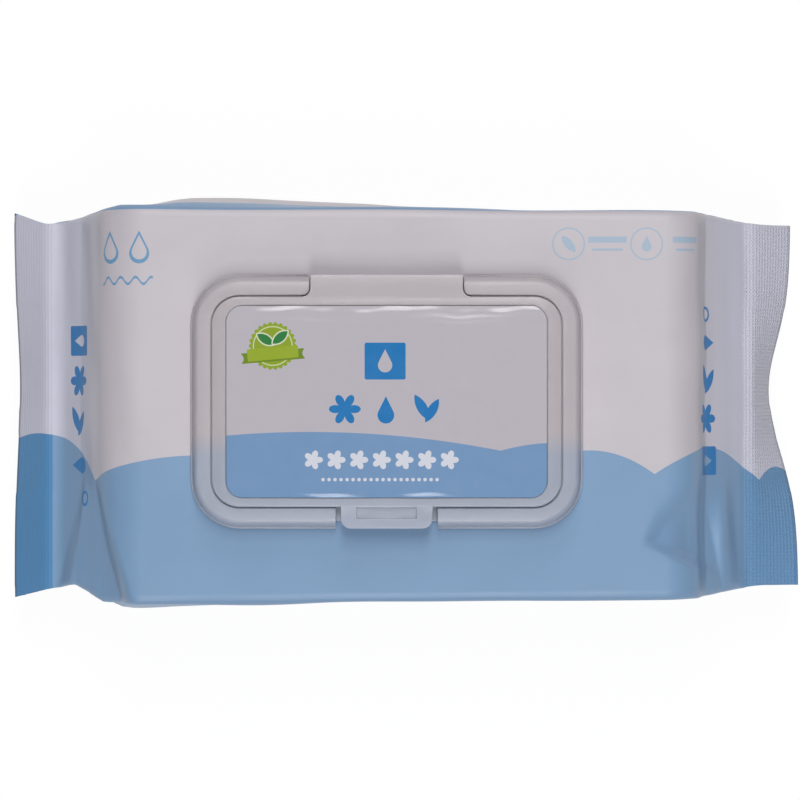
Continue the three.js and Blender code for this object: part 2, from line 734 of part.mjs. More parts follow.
function tabShape() {
  const half = TAB_WIDTH / 2;
  const inner = -LID_EDGE_Y + OVERLAP;
  const outer = -LID_EDGE_Y - TAB_REACH;
  const shape = new THREE.Shape();
  shape.moveTo(-half, inner);
  shape.lineTo(-half, outer + TAB_CORNER);
  shape.absarc(-half + TAB_CORNER, outer + TAB_CORNER, TAB_CORNER, Math.PI, 1.5 * Math.PI, false);
  shape.lineTo(half - TAB_CORNER, outer);
  shape.absarc(half - TAB_CORNER, outer + TAB_CORNER, TAB_CORNER, 1.5 * Math.PI, 2 * Math.PI, false);
  shape.lineTo(half, inner);
  shape.closePath();
  return shape;
}

// The strap ends in a round bead, whose middle is the hinge's axis.
function hingeStrap() {
  const outline = strapShape(0, LID_EDGE_Y - OVERLAP, HINGE_Y);
  const strap = extrudeShape(outline, LID_TOP - STRAP_THICKNESS, LID_TOP);
  const radius = STRAP_THICKNESS / 2;
  const bead = new THREE.CylinderGeometry(radius, radius, STRAP_WIDTH, BEAD_SIDES);
  bead.rotateZ(Math.PI / 2);
  bead.translate(0, HINGE_Y, LID_TOP - radius);
  return strap.add(solid(bead));
}

function flipLid() {
  const tabTop = LID_TOP - TAB_DROP;
  const tabUnder = tabTop - TAB_THICKNESS;
  const tab = extrudeShape(tabShape(), tabUnder, tabTop);
  const recessHalf = TAB_RECESS.length / 2;
  const recessY = -LID_EDGE_Y - TAB_RECESS.inset;
  const recess = boxBetween(
    [-recessHalf, recessY - TAB_RECESS.width, tabTop - TAB_RECESS.depth],
    [recessHalf, recessY, tabTop + CLEAR],
  );
  const hookHalf = CATCH_WIDTH / 2 - HOOK_INSET;
  const hookY = -WELL_Y - CATCH_STEP - CATCH_WALL - LID_GAP;
  const hook = boxBetween(
    [-hookHalf, hookY - CATCH_WALL, BORDER_TOP - CATCH_BELOW - CLEAR],
    [hookHalf, hookY, tabUnder + HOOK_INSET],
  );
  return lidPlate()
    .add(hingeStrap())
    .add(tab)
    .subtract(recess)
    .add(hook)
    .translate([LID_X, LID_Y, PACK_THICKNESS]);
}

function lidLabel() {
  const bottom = LID_TOP - LABEL_RECESS + LID_GAP;
  const rings = [labelRing(0, bottom), labelRing(0, bottom + LABEL_THICKNESS)];
  return plateBody(rings).translate([LID_X, LID_Y, PACK_THICKNESS]);
}

const film = new THREE.MeshStandardMaterial({ color: 0xa9bccf, roughness: 0.45 });
const nonwoven = new THREE.MeshStandardMaterial({ color: 0xf2f2ee, roughness: 0.95 });
const mouldedWhite = new THREE.MeshStandardMaterial({ color: 0xf0eff0, roughness: 0.35 });
const labelFilm = new THREE.MeshStandardMaterial({ color: 0x9fc0e0, roughness: 0.2 });

const pouch = filmPouch();
const bounds = pouch.boundingBox();
// The crumpled ends aren't alike, so every piece moves by the pouch's offset from the origin.
const centring = [-(bounds.min[0] + bounds.max[0]) / 2, -(bounds.min[1] + bounds.max[1]) / 2, 0];

const pack = new THREE.Group();
pack.name = "wet_wipes_pack";
pack.add(meshOf(pouch.translate(centring), "film_pouch", film));
pack.add(meshOf(wipesStack().translate(centring), "wipes_stack", nonwoven));
pack.add(meshOf(lidBase().translate(centring), "lid_base", mouldedWhite));
pack.add(meshOf(flipLid().translate(centring), "flip_lid", mouldedWhite));
pack.add(meshOf(lidLabel().translate(centring), "lid_label", labelFilm));
export default pack;
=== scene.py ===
"""Wet wipes pack: a printed film pouch with a moulded flip lid and a glossy label.

Sizes are in millimetres until a mesh is made. The pouch is worked out around its own middle,
and `MIDDLE` moves it to where the frame has it.
"""
from math import pi, radians

import bmesh
import bpy
import numpy as np
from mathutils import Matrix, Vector


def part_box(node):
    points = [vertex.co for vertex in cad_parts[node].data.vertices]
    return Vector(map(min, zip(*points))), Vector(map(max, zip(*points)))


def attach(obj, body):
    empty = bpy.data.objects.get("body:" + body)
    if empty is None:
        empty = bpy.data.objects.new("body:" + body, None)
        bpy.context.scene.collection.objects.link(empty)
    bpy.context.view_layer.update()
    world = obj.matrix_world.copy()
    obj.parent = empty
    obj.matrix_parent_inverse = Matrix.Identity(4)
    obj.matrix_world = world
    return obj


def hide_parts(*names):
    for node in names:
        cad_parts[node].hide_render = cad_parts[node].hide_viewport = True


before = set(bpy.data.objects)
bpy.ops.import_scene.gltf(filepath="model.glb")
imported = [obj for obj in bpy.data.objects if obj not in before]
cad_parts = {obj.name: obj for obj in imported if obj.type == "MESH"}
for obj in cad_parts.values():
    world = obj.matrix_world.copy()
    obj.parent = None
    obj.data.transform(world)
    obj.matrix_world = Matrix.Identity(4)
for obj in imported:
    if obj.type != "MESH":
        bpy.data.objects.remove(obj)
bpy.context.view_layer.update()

MM = 0.001


def box_mm(node):
    """Lowest and highest corner of a node of the frame, in millimetres."""
    return [np.array(corner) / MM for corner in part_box(node)]


STACK_LOW, STACK_HIGH = box_mm("wipes_stack")
LABEL_LOW, LABEL_HIGH = box_mm("lid_label")
MIDDLE = np.array([
    (STACK_LOW[0] + STACK_HIGH[0]) / 2,
    (STACK_LOW[1] + STACK_HIGH[1]) / 2,
    0.0,
])
LID_CENTRE = (LABEL_LOW + LABEL_HIGH) / 2
HALF_THICKNESS = box_mm("film_pouch")[1][2] / 2


def lid_middle(z):
    """The point at this height on the line through the lid's middle."""
    return np.array([LID_CENTRE[0], LID_CENTRE[1], z])


# Small tools


def linear(colour):
    """An sRGB hex colour as linear RGBA."""
    channels = np.array([int(colour[i:i + 2], 16) / 255 for i in (0, 2, 4)])
    bright = ((channels + 0.055) / 1.055) ** 2.4
    return (*np.where(channels <= 0.04045, channels / 12.92, bright), 1.0)


def smooth(start, end, value):
    """0 before start, 1 after end, and an even S between them."""
    t = np.clip((value - start) / (end - start), 0, 1)
    return t * t * (3 - 2 * t)


def bell(value, middle, spread):
    """1 at the middle, falling off as a bell curve."""
    return np.exp(-(((value - middle) / spread) ** 2))


def ripples(u, v, seed, waves, lengths):
    """A sum of sine waves in seeded directions, with wavelengths in the given range, from -1 to 1."""
    draw = np.random.default_rng(seed)
    total = np.zeros(np.broadcast(u, v).shape)
    for _ in range(waves):
        direction = draw.uniform(0, pi)
        length = draw.uniform(*lengths)
        phase = draw.uniform(0, 2 * pi)
        run = u * np.cos(direction) + v * np.sin(direction)
        total += np.sin(2 * pi * run / length + phase)
    return total / waves


def placed(name, data):
    """An object with this data, linked into the scene."""
    thing = bpy.data.objects.new(name, data)
    bpy.context.scene.collection.objects.link(thing)
    return thing


def mesh_piece(name, points, faces, material, body, uv=None):
    """A mesh object from points in millimetres and lists of corners, without the points no face uses."""
    faces = np.asarray(faces)
    used, corners = np.unique(faces.ravel(), return_inverse=True)
    mesh = bpy.data.meshes.new(name)
    mesh.from_pydata(points.reshape(-1, 3)[used] * MM, [], corners.reshape(faces.shape).tolist())
    if uv is not None:
        mesh.uv_layers.new(name="film").data.foreach_set("uv", uv.ravel())
    mesh.shade_smooth()
    mesh.materials.append(material)
    piece = placed(name, mesh)
    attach(piece, body)
    return piece


def grid_faces(rows, columns, wrap=False):
    """Corners of the faces between the neighbours of a grid, whose rows may close into loops."""
    index = np.arange(rows * columns).reshape(rows, columns)
    if wrap:
        index = np.concatenate([index, index[:, :1]], axis=1)
    return np.stack([index[:-1, :-1], index[1:, :-1], index[1:, 1:], index[:-1, 1:]], axis=-1)


def wall(piece, thickness):
    """Gives a surface its wall, inwards from its faces."""
    solidify = piece.modifiers.new("wall", "SOLIDIFY")
    solidify.thickness = thickness * MM
    solidify.offset = -1
    return piece


def put(tree, kind, inputs=(), out=0, **settings):
    """Adds a node with its settings, fills its inputs with values or links, and returns one output."""
    node = tree.nodes.new("ShaderNode" + kind)
    for name, value in settings.items():
        setattr(node, name, value)
    pairs = inputs.items() if isinstance(inputs, dict) else enumerate(inputs)
    for key, value in pairs:
        if isinstance(value, bpy.types.NodeSocket):
            tree.links.new(value, node.inputs[key])
        else:
            node.inputs[key].default_value = value
    return node.outputs[out]


def maths(tree, operation, *inputs, **settings):
    """One step of arithmetic on numbers or links."""
    return put(tree, "Math", inputs, operation=operation, **settings)


def new_material(name):
    """An empty material with its tree and its shader."""
    material = bpy.data.materials.new(name)
    material.use_nodes = True
    tree = material.node_tree
    return material, tree, tree.nodes["Principled BSDF"]


def set_shader(shader, **values):
    """Numbers that are the same all over the surface, set on the shader's own sockets."""
    for name, value in values.items():
        shader.inputs[name.replace("_", " ")].default_value = value


# Printed shapes, each a mask that is 1 inside


def laid(tree, p, x, y, turn=0):
    """The print's coordinates moved to a motif's middle and turned with it, in degrees."""
    at = put(tree, "VectorMath", [p, (x, y, 0)], operation="SUBTRACT")
    return put(tree, "VectorRotate", {"Vector": at, "Angle": -radians(turn)}, rotation_type="Z_AXIS")


def either(tree, *masks):
    """1 where any of the masks is 1."""
    whole = masks[0]
    for mask in masks[1:]:
        whole = maths(tree, "MAXIMUM", whole, mask)
    return whole


def disc(tree, p, radius):
    """A filled circle."""
    away = put(tree, "VectorMath", [p], out=1, operation="LENGTH")
    return maths(tree, "LESS_THAN", away, radius)


def ring(tree, p, radius, half):
    """A circle drawn with a line: the distance from it is under half the line's width."""
    away = put(tree, "VectorMath", [p], out=1, operation="LENGTH")
    away = maths(tree, "SUBTRACT", away, radius)
    away = maths(tree, "ABSOLUTE", away)
    return maths(tree, "LESS_THAN", away, half)


def bar(tree, p, half_x, half_y, corner):
    """A rounded rectangle: the distance outside its inner rectangle is under the corner's radius."""
    folded = put(tree, "VectorMath", [p], operation="ABSOLUTE")
    past = put(tree, "VectorMath", [folded, (half_x - corner, half_y - corner, 0)], operation="SUBTRACT")
    outside = put(tree, "VectorMath", [past, (0, 0, 0)], operation="MAXIMUM")
    return disc(tree, put(tree, "VectorMath", [outside, (1, 1, 0)], operation="MULTIPLY"), corner)


def leaf(tree, p, half_length, half_width):
    """The overlap of two discs, pointed at both ends of its length along y."""
    radius = (half_length**2 + half_width**2) / (2 * half_width)
    folded = put(tree, "VectorMath", [p], operation="ABSOLUTE")
    shifted = put(tree, "VectorMath", [folded, (radius - half_width, 0, 0)], operation="ADD")
    return disc(tree, shifted, radius)


def drop(tree, p, size):
    """A disc below, and above it the wedge between its two tangents from the drop's point."""
    low = disc(tree, laid(tree, p, 0, -0.35 * size), 0.6 * size)
    parts = put(tree, "SeparateXYZ", [p]).node
    across = maths(tree, "ABSOLUTE", parts.outputs[0])
    reach = maths(tree, "MULTIPLY_ADD", parts.outputs[1], -0.5, 0.5 * size)
    high = maths(tree, "LESS_THAN", across, reach)
    above = maths(tree, "GREATER_THAN", parts.outputs[1], -0.083 * size)
    return either(tree, low, maths(tree, "MULTIPLY", high, above))


def flower(tree, p, radius, petals, depth):
    """A disc whose radius swings with the angle, so that it has petals."""
    parts = put(tree, "SeparateXYZ", [p]).node
    angle = maths(tree, "ARCTAN2", parts.outputs[1], parts.outputs[0])
    swing = maths(tree, "MULTIPLY", angle, petals / 2)
    swing = maths(tree, "COSINE", swing)
    swing = maths(tree, "ABSOLUTE", swing)
    reach = maths(tree, "MULTIPLY_ADD", swing, depth * radius, (1 - depth) * radius)
    away = put(tree, "VectorMath", [p], out=1, operation="LENGTH")
    return maths(tree, "LESS_THAN", away, reach)


def inked(tree, colour, mask, ink):
    """The colour with an ink printed over it where the mask is 1."""
    return put(tree, "Mix", {0: mask, 6: colour, 7: ink}, out=2, data_type="RGBA")


def shaded(tree, colour, tint):
    """The colour multiplied by a tint."""
    inputs = {0: 1.0, 6: colour, 7: tint}
    return put(tree, "Mix", inputs, out=2, data_type="RGBA", blend_type="MULTIPLY")


def below_hills(tree, along, across, hills):
    """1 below a scalloped line. Each hill is (height, place, curve): height - curve * run squared."""
    line = None
    for height, place, curve in hills:
        run = maths(tree, "SUBTRACT", along, place)
        square = maths(tree, "MULTIPLY", run, run)
        hill = maths(tree, "MULTIPLY_ADD", square, -curve, height)
        line = hill if line is None else maths(tree, "MAXIMUM", line, hill)
    return maths(tree, "LESS_THAN", across, line)


# Film of the pouch

FILM = 0.15  # thicker than the real film, so that its edge can be seen
SEAL_HALF = 0.17
SEAL_WIDTH = 13.2
EDGE_RADIUS = 2.5
THIN_EDGE_RADIUS = 1.35
THIN_HEIGHT = 1.5
EDGE_RADIUS_GROWTH = 0.18
HALF_STACK = (STACK_HIGH[0] - STACK_LOW[0]) / 2
HALF_WIDTH = (52.1, 50.6, 48.0)  # at the left, at the right, and at the right seal
RIGHT_TAPER = (HALF_STACK + 1.5, HALF_STACK + 22.5)
# Depth and place of each pinch by the left seal, and its lengths to the middle and to the seal.
FAR_PINCH = (4.1, -HALF_STACK - 20.8, 20.9, 14.0)
FRONT_PINCH = (4.6, -HALF_STACK - 13.3, 8.1, 21.4)
PINCH_ROUND = 0.06  # share of those lengths over which the point is rounded
# How far each long side stands out, and the shares of the half length where that rises and fades.
FAR_BULGE = (3.2, (-1, -0.75), (-0.75, 0.55))
FRONT_BULGE = (1.5, (-1.15, -1), (-1, 0.4))
GUSSET_DEPTH = 16.0
GUSSET_FROM = HALF_STACK + 0.5
GUSSET_RUN = 11.0
GUSSET_HEIGHTS = (2.4, 11.0)
SIDE_FILM = 46.0  # film between the front's edge and the back's edge
CHANNEL_HALF = 8.0
CHANNEL_DEPTH = 0.6
LEFT_END = dict(flat=HALF_STACK - 6.0, shoulder=13, steep=64, drop=11.1, knee=4, slope=50, foot=5)
RIGHT_END = dict(flat=HALF_STACK - 6.8, shoulder=10, steep=72, drop=5.2, knee=2, slope=49, foot=3)
# Turns of the seals in their middle and at their far and front edges, and how far these spread.
LEFT_TURN = dict(middle=47, far=37, front=38, far_spread=24, front_spread=24, bend=3.0)
RIGHT_TURN = dict(middle=66, far=32, front=5, far_spread=20, front_spread=29, bend=1.8)
SEAL_TURN_Y = 4.0
OPENING = (56.0, 30.0, 12.0)  # length, width and corner of the cut in the front
OPENING_ROOM = 0.8  # how far round the cut the skin is left out, under its lip


def end_profile(end):
    """Along-film distance, distance from the middle and half height of one end.

    The film's angle is a broken line over its length: flat, shoulder, drop, knee, slope, foot.
    Distance and height are the sums of its cosine and its sine.
    """
    steep, slope = radians(end["steep"]), radians(end["slope"])
    shoulder_fall = end["shoulder"] * (1 - np.cos(steep))
    knee_fall = end["knee"] * (np.cos(slope) - np.cos(steep))
    foot_fall = end["foot"] * (1 - np.cos(slope))
    left = HALF_THICKNESS - SEAL_HALF - shoulder_fall - end["drop"] - knee_fall - foot_fall
    lengths = [
        end["flat"],
        end["shoulder"] * steep,
        end["drop"] / np.sin(steep),
        end["knee"] * (steep - slope),
        left / np.sin(slope),
        end["foot"] * slope,
        SEAL_WIDTH,
    ]
    marks = np.concatenate([[0], np.cumsum(lengths)])
    angles = [0, 0, steep, steep, slope, slope, 0, 0]
    along = np.linspace(0, marks[-1], 6001)
    angle = np.interp(along, marks, angles)
    step = along[1]
    out = np.concatenate([[0], np.cumsum(np.cos((angle[1:] + angle[:-1]) / 2))]) * step
    fall = np.concatenate([[0], np.cumsum(np.sin((angle[1:] + angle[:-1]) / 2))]) * step
    return dict(along=along, out=out, half=HALF_THICKNESS - fall, seal=marks[-2])


PROFILES = {-1: end_profile(LEFT_END), 1: end_profile(RIGHT_END)}
LEFT_SEAL = PROFILES[-1]["seal"]  # where the seals begin, along the film
RIGHT_SEAL = PROFILES[1]["seal"]


def profile_value(along, name):
    """A value of the end profiles at signed distances along the film from the middle."""
    left = np.interp(-along, PROFILES[-1]["along"], PROFILES[-1][name])
    right = np.interp(along, PROFILES[1]["along"], PROFILES[1][name])
    return np.where(along < 0, left, right)


def wedge(x, place, inner, outer):
    """1 at the point of a pinch, falling straight to 0 towards the middle and towards the seal."""
    run = np.where(x > place, inner, outer)
    return np.clip(1 - np.hypot((x - place) / run, PINCH_ROUND), 0, None)


def half_width(x, side):
    """Even taper from left to right, a further one at the right seal, and a pinch by the left seal."""
    along = np.clip((x / HALF_STACK + 1) / 2, 0, 1)
    taper = (HALF_WIDTH[1] - HALF_WIDTH[0]) * along
    seal = (HALF_WIDTH[1] - HALF_WIDTH[2]) * smooth(*RIGHT_TAPER, x)
    far = FAR_PINCH[0] * wedge(x, *FAR_PINCH[1:])
    front = FRONT_PINCH[0] * wedge(x, *FRONT_PINCH[1:])
    return HALF_WIDTH[0] + taper - seal - np.where(side > 0, far, front)


def side_bulge(x, side):
    """How far a long side stands out at its mid height."""
    along = x / HALF_STACK
    far, front = (
        depth * smooth(*rises, along) * (1 - smooth(*fades, along))
        for depth, rises, fades in (FAR_BULGE, FRONT_BULGE)
    )
    return np.where(side > 0, far, front)


def section_columns():
    """Columns round the section from the back's middle, as rows of numbers.

    A point lies f * (width - radius) + c * radius across and t * (half height - radius) + e * radius up.
    The last rows are the side it belongs to and the quarter turns that the film has made at its edges.
    """
    quarter = np.linspace(0, pi / 2, 6)[1:-1]
    flat = np.sin(np.linspace(0, pi / 2, 18))
    back = np.concatenate([np.linspace(0, 9.2, 17) / 50, 0.184 + 0.816 * flat[2:]])
    side = np.sin(np.linspace(-pi / 2, pi / 2, 25))
    top = np.sin(np.linspace(-1, 1, 97) * 1.25) / np.sin(1.25)
    one = np.ones_like
    half = [
        (back, 0 * back, -one(back), -one(back), 0 * back),
        (one(quarter), np.sin(quarter), -one(quarter), -np.cos(quarter), quarter),
        (one(side), one(side), side, 0 * side, 0 * side + pi / 2),
        (one(quarter), np.cos(quarter), one(quarter), np.sin(quarter), quarter + pi / 2),
    ]
    near = np.concatenate([np.stack(part) for part in half], axis=1)
    f, c, t, e, turn = near
    near = np.stack([-f, -c, t, e, -one(f), turn])
    far = np.stack([f, c, t, e, one(f), turn])[:, ::-1]
    over = np.stack([top, 0 * top, one(top), one(top), np.where(top < 0, -1.0, 1.0), 0 * top + pi])
    return np.concatenate([near, over, far], axis=1)


# The folded corner: its tip and its foot, and how far its two creases lie from the tip, at the
# top and at the foot.
EAR_TIP = (-83.2, -19.5)
EAR_FOOT_Y = -50.5
EAR_INNER = (2.0, 12.4)
EAR_OUTER = (1.8, 10.2)
EAR_STEP = 3.9  # width of the steps at the foot


def ear_shift(x, y, half):
    """Change of height where the lower left corner is folded into a wedge.

    Below its tip the drop at the end of the pack splits in two: a step down by the front, a sloping
    facet, a second step, and a last facet by the seal. The height is the end profile's at a distance
    that runs quickly in the steps and slowly on the facet between them.
    """
    tip_x, tip_y = EAR_TIP
    reach = np.clip((tip_y - y) / (tip_y - EAR_FOOT_Y), 0, 1.08)
    lift = reach**0.6
    distance = -x
    inner = -tip_x - EAR_INNER[0] - (EAR_INNER[1] - EAR_INNER[0]) * reach
    outer = -tip_x + EAR_OUTER[0] + (EAR_OUTER[1] - EAR_OUTER[0]) * reach
    end = PROFILES[-1]["out"][-1] + 1
    step = EAR_STEP * lift
    knots = [inner, inner + step, outer - step, outer, end + 0 * reach]
    values = [
        inner,
        inner + step + 3.2 * lift + 3.2 * reach**2,
        outer - step - 1.2 * lift - 1.6 * reach**2,
        outer - 0.2 * reach,
        end + 0 * reach,
    ]
    moved_to = distance.copy()
    for i in range(4):
        share = (distance - knots[i]) / np.maximum(knots[i + 1] - knots[i], 0.01)
        inside = (share >= 0) & (share < 1)
        moved_to = np.where(inside, values[i] + share * (values[i + 1] - values[i]), moved_to)
    profile = PROFILES[-1]
    height = np.interp(moved_to, profile["out"], profile["half"])
    plain = np.interp(distance, profile["out"], profile["half"])
    return np.where(half > 0, (height - plain) * smooth(0.0, 0.06, reach), 0)


def toward(x, y, start, end):
    """Share of the way along a line, and the distance to the left of it."""
    line = np.subtract(end, start)
    length = np.hypot(*line)
    along = ((x - start[0]) * line[0] + (y - start[1]) * line[1]) / length**2
    aside = ((y - start[1]) * line[0] - (x - start[0]) * line[1]) / length
    return along, aside


# The dent: its sharp tip and the ends of its left and lower walls. The fold: its valley's ends.
POCKET_TIP = (61.6, -36.7)
POCKET_WALLS = ((67.4, -23.5), (76.0, -42.5))
FOLD_VALLEY = ((78.5, -20.0), (84.4, -50.0))
FOLD_RISE = 4.4


def pocket_depth(x, y):
    """Depth of the dent in the lower right corner.

    Its left wall starts as a sharp crease at the tip and widens upwards, its lower wall is short, and
    its floor slopes down to the right.
    """
    share, above = toward(x, y, POCKET_TIP, POCKET_WALLS[0])
    _, below = toward(x, y, POCKET_TIP, POCKET_WALLS[1])
    wide = 1.8 + 5.0 * np.clip(share, 0, 1)
    walls = smooth(-0.3, 1, -above / wide) * smooth(-0.3, 3.0, below)
    floor_depth = 1.3 + 0.3 * np.clip(x - POCKET_TIP[0], 0, 12)
    return floor_depth * walls * (1 - smooth(73, 85, x)) * (1 - smooth(-34, -20, y))


def fold_height(x, y):
    """Height of the fold that runs to the front edge by the right seal, its valley on the left."""
    along, aside = toward(x, y, *FOLD_VALLEY)
    rise = np.clip((aside + 0.2) / 5.4, 0, 1) * (1 - smooth(4.8, 13.0, aside))
    return FOLD_RISE * rise * np.clip(along / 0.5, 0, 1)


def film_surface(along, columns):
    """Points of the pouch over a grid of stations along the film and columns round it."""
    f, c, t, e, side, turn = (row[None, :] for row in columns)
    hand = np.where(along < 0, -1, 1)
    far = np.abs(along)[:, None]
    out = profile_value(along, "out")[:, None]
    half = profile_value(along, "half")[:, None]
    hand = hand[:, None]
    x = hand * out
    width = half_width(x, side)
    thin = THIN_EDGE_RADIUS / THIN_HEIGHT * half
    thick = np.minimum(EDGE_RADIUS, THIN_EDGE_RADIUS + EDGE_RADIUS_GROWTH * (half - THIN_HEIGHT))
    radius = np.where(half < THIN_HEIGHT, thin, thick)
    tuck = GUSSET_DEPTH * smooth(GUSSET_FROM, GUSSET_FROM + GUSSET_RUN, out)
    tuck = tuck * smooth(*GUSSET_HEIGHTS, half)
    y = f * (width - radius) + c * radius
    y = y + side * (side_bulge(x, side) * (1 - t**2) - tuck * (1 - np.abs(t)))
    up = t * (half - radius) + e * radius
    upper = np.clip((t + 1) / 2, 0, 1)
    up = up + ear_shift(x + 0 * y, y, up) * upper
    up = up + (fold_height(x, y) - pocket_depth(x, y)) * upper * smooth(2, 9, half)
    starts = np.where(hand < 0, LEFT_SEAL, RIGHT_SEAL)
    seal_out = np.abs(profile_value(hand * starts, "out"))
    x, up = bent_seal(hand, seal_out, far - starts, x, y, up)
    v = film_across(columns, width, radius, y)
    return np.stack([x, y, HALF_THICKNESS + up], axis=-1), v


def bent_seal(hand, start, past, x, y, up):
    """The end seals turn down, most in their middle: an arc of the bend's length, then straight."""
    turns = []
    for seal in (LEFT_TURN, RIGHT_TURN):
        edge = np.where(y > SEAL_TURN_Y, seal["far"], seal["front"])
        spread = np.where(y > SEAL_TURN_Y, seal["far_spread"], seal["front_spread"])
        turns.append(edge + (seal["middle"] - edge) * bell(y, SEAL_TURN_Y, spread))
    turn = np.radians(np.where(hand < 0, *turns))
    length = np.where(hand < 0, LEFT_TURN["bend"], RIGHT_TURN["bend"])
    bend = np.clip(past, 0, length)
    angle = turn * bend / length
    radius = length / turn
    straight = np.clip(past - length, 0, None)
    out = radius * np.sin(angle) + straight * np.cos(turn) + up * np.sin(angle)
    fall = radius * (1 - np.cos(angle)) + straight * np.sin(turn)
    on_seal = past > 0
    bent_x = hand * (start + out)
    bent_up = up * np.cos(angle) - fall
    return np.where(on_seal, bent_x, x + 0 * y), np.where(on_seal, bent_up, up)


def film_across(columns, width, radius, y):
    """Distance across the film from the front's middle: over the edge, down the side, along the back."""
    f, c, t, e, side, turn = (row[None, :] for row in columns)
    edge = width - radius
    corner = radius * (pi - turn)
    down = SIDE_FILM * (1 - t) / 2
    back = edge * (1 - np.abs(f))
    return side * np.where(turn >= pi, np.abs(y), edge + corner + down + back)


LAYER = 0.16  # how far a layer of the tucks or the fin seal stands out in the end seals


def film_relief(along, across):
    """Height over the plain form: broad waves, finer creases at the ends, and the seals' layers."""
    from_middle = np.abs(across)
    lid_x, lid_y, _ = LID_CENTRE - MIDDLE
    ends = smooth(66, 80, np.abs(along))
    on_side = smooth(49, 54, from_middle) * (1 - smooth(96, 101, from_middle))
    on_back = smooth(100, 104, from_middle)
    under_lid = 1 - smooth(50, 58, np.abs(along - lid_x))
    under_lid = under_lid * (1 - smooth(33, 38, np.abs(across - lid_y)))
    broad = ripples(along, across, 3, 7, (26, 60))
    fine = ripples(along, across * 0.35, 8, 9, (7, 16))
    long_folds = ripples(along * 0.25, across, 5, 7, (9, 20))
    front = 0.22 * broad * (1 - under_lid) + 0.42 * ends * fine
    relief = front * (1 - on_side) + on_side * (0.55 * long_folds + 0.35 * broad)
    back = -0.3 * np.abs(broad) * (1 - smooth(120, 140, from_middle))
    relief = np.where(on_back > 0, back, relief)
    relief = relief * (1 - 0.8 * by_seals(along, 2, 2))
    tucks = smooth(24.6, 24.9, np.abs(across - 1.2)) * (1 - smooth(48, 50, from_middle))
    fin = smooth(-8.0, -7.7, across) * (1 - smooth(-0.9, -0.6, across))
    return relief + LAYER * (tucks + fin) * by_seals(along, 6, 8)


def by_seals(along, left_run, right_run):
    """0 in the middle of the pouch, rising to 1 at each seal over the given runs."""
    left = smooth(LEFT_SEAL - left_run, LEFT_SEAL, -along)
    return np.maximum(left, smooth(RIGHT_SEAL - right_run, RIGHT_SEAL, along))


def with_relief(points, height):
    """The points moved out along the surface's own normals."""
    run = np.gradient(points, axis=0)
    across = np.gradient(points, axis=1)
    normal = np.cross(run, across)
    normal /= np.linalg.norm(normal, axis=-1, keepdims=True) + 1e-9
    return points + normal * height[..., None]


def pouch_stations():
    """Stations along the film, close together where it curves and wide apart where it is flat."""
    left, right = (PROFILES[hand]["along"][-1] for hand in (-1, 1))
    return np.concatenate([
        np.linspace(-left, -LEFT_SEAL, 14)[:-1],
        np.linspace(-LEFT_SEAL, -60, 72)[:-1],
        np.linspace(-60, 54, 36)[:-1],
        np.linspace(54, 66, 16)[:-1],
        np.linspace(66, RIGHT_SEAL, 60)[:-1],
        np.linspace(RIGHT_SEAL, right, 14),
    ])


def channel_depth(half_height):
    """Depth of the shallow channel along the back, which runs out where the ends grow thin."""
    return CHANNEL_DEPTH * smooth(1.0, 8.0, half_height)


def film_channel(across, half_height):
    """The channel over the whole pouch: full depth near the back's middle, nothing past its edges."""
    from_middle = np.abs(across).max(axis=1, keepdims=True) - np.abs(across)
    inside = 1 - smooth(CHANNEL_HALF - 0.8, CHANNEL_HALF + 0.8, from_middle)
    return channel_depth(half_height) * inside


def film_pouch(material):
    """The skin: front, sides, back and end seals, left open under the lid."""
    columns = section_columns()
    along = pouch_stations()
    points, across = film_surface(along, columns)
    along_grid = along[:, None] + 0 * across
    half = profile_value(along, "half")[:, None]
    relief = film_relief(along_grid, across) - film_channel(across, half)
    points = with_relief(points, relief) + MIDDLE
    corners = grid_faces(len(along), columns.shape[1] - 1, wrap=True)
    middle = (points[:-1, :-1] + points[1:, 1:]) / 2
    from_lid = np.abs(middle - LID_CENTRE)
    reach_x, reach_y = (length / 2 + OPENING_ROOM for length in OPENING[:2])
    in_opening = (from_lid[..., 0] < reach_x) & (from_lid[..., 1] < reach_y)
    keep = ~(in_opening & (middle[..., 2] > HALF_THICKNESS))
    uv_grid = np.stack([along_grid, across], axis=-1)
    uv = np.stack([uv_grid[:-1, :-1], uv_grid[1:, :-1], uv_grid[1:, 1:], uv_grid[:-1, 1:]], axis=2)
    piece = mesh_piece(
        "film_pouch_skin", points[:, :-1], corners[keep], material, "pack", uv[keep]
    )
    wall(piece, FILM)
    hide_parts("film_pouch")
    return piece


def rounded_rectangle(length, width, corner, steps=16):
    """Outline of a rounded rectangle, counter-clockwise, as rows of x and y."""
    turn = np.linspace(0, pi / 2, steps + 1)
    arc = np.stack([np.cos(turn), np.sin(turn)], axis=1) * corner
    reach = np.array([length / 2 - corner, width / 2 - corner])
    quarters = []
    for quarter in range(4):
        spin = quarter * pi / 2
        turned_arc = arc @ np.array([[np.cos(spin), np.sin(spin)], [-np.sin(spin), np.cos(spin)]])
        signs = np.array([[1, 1], [-1, 1], [-1, -1], [1, -1]][quarter])
        quarters.append(turned_arc + signs * reach)
    return np.concatenate(quarters)


def opening_lip(material):
    """A flat ring of film round the opening, whose rings run from the cut edge outwards."""
    length, width, corner = OPENING
    rings = []
    for grow in (10.0, 5.0, 1.0, 0.25, 0.0):
        outline = rounded_rectangle(length + 2 * grow, width + 2 * grow, corner + grow)
        lift = 0.12 + 0.25 * (1 - smooth(0, 2.5, grow))
        rings.append(np.column_stack([outline, np.full(len(outline), lift)]))
    points = np.array(rings) + lid_middle(2 * HALF_THICKNESS)
    corners = grid_faces(*points.shape[:2], wrap=True).reshape(-1, 4)
    piece = mesh_piece("opening_lip", points, corners, material, "pack")
    return wall(piece, FILM)


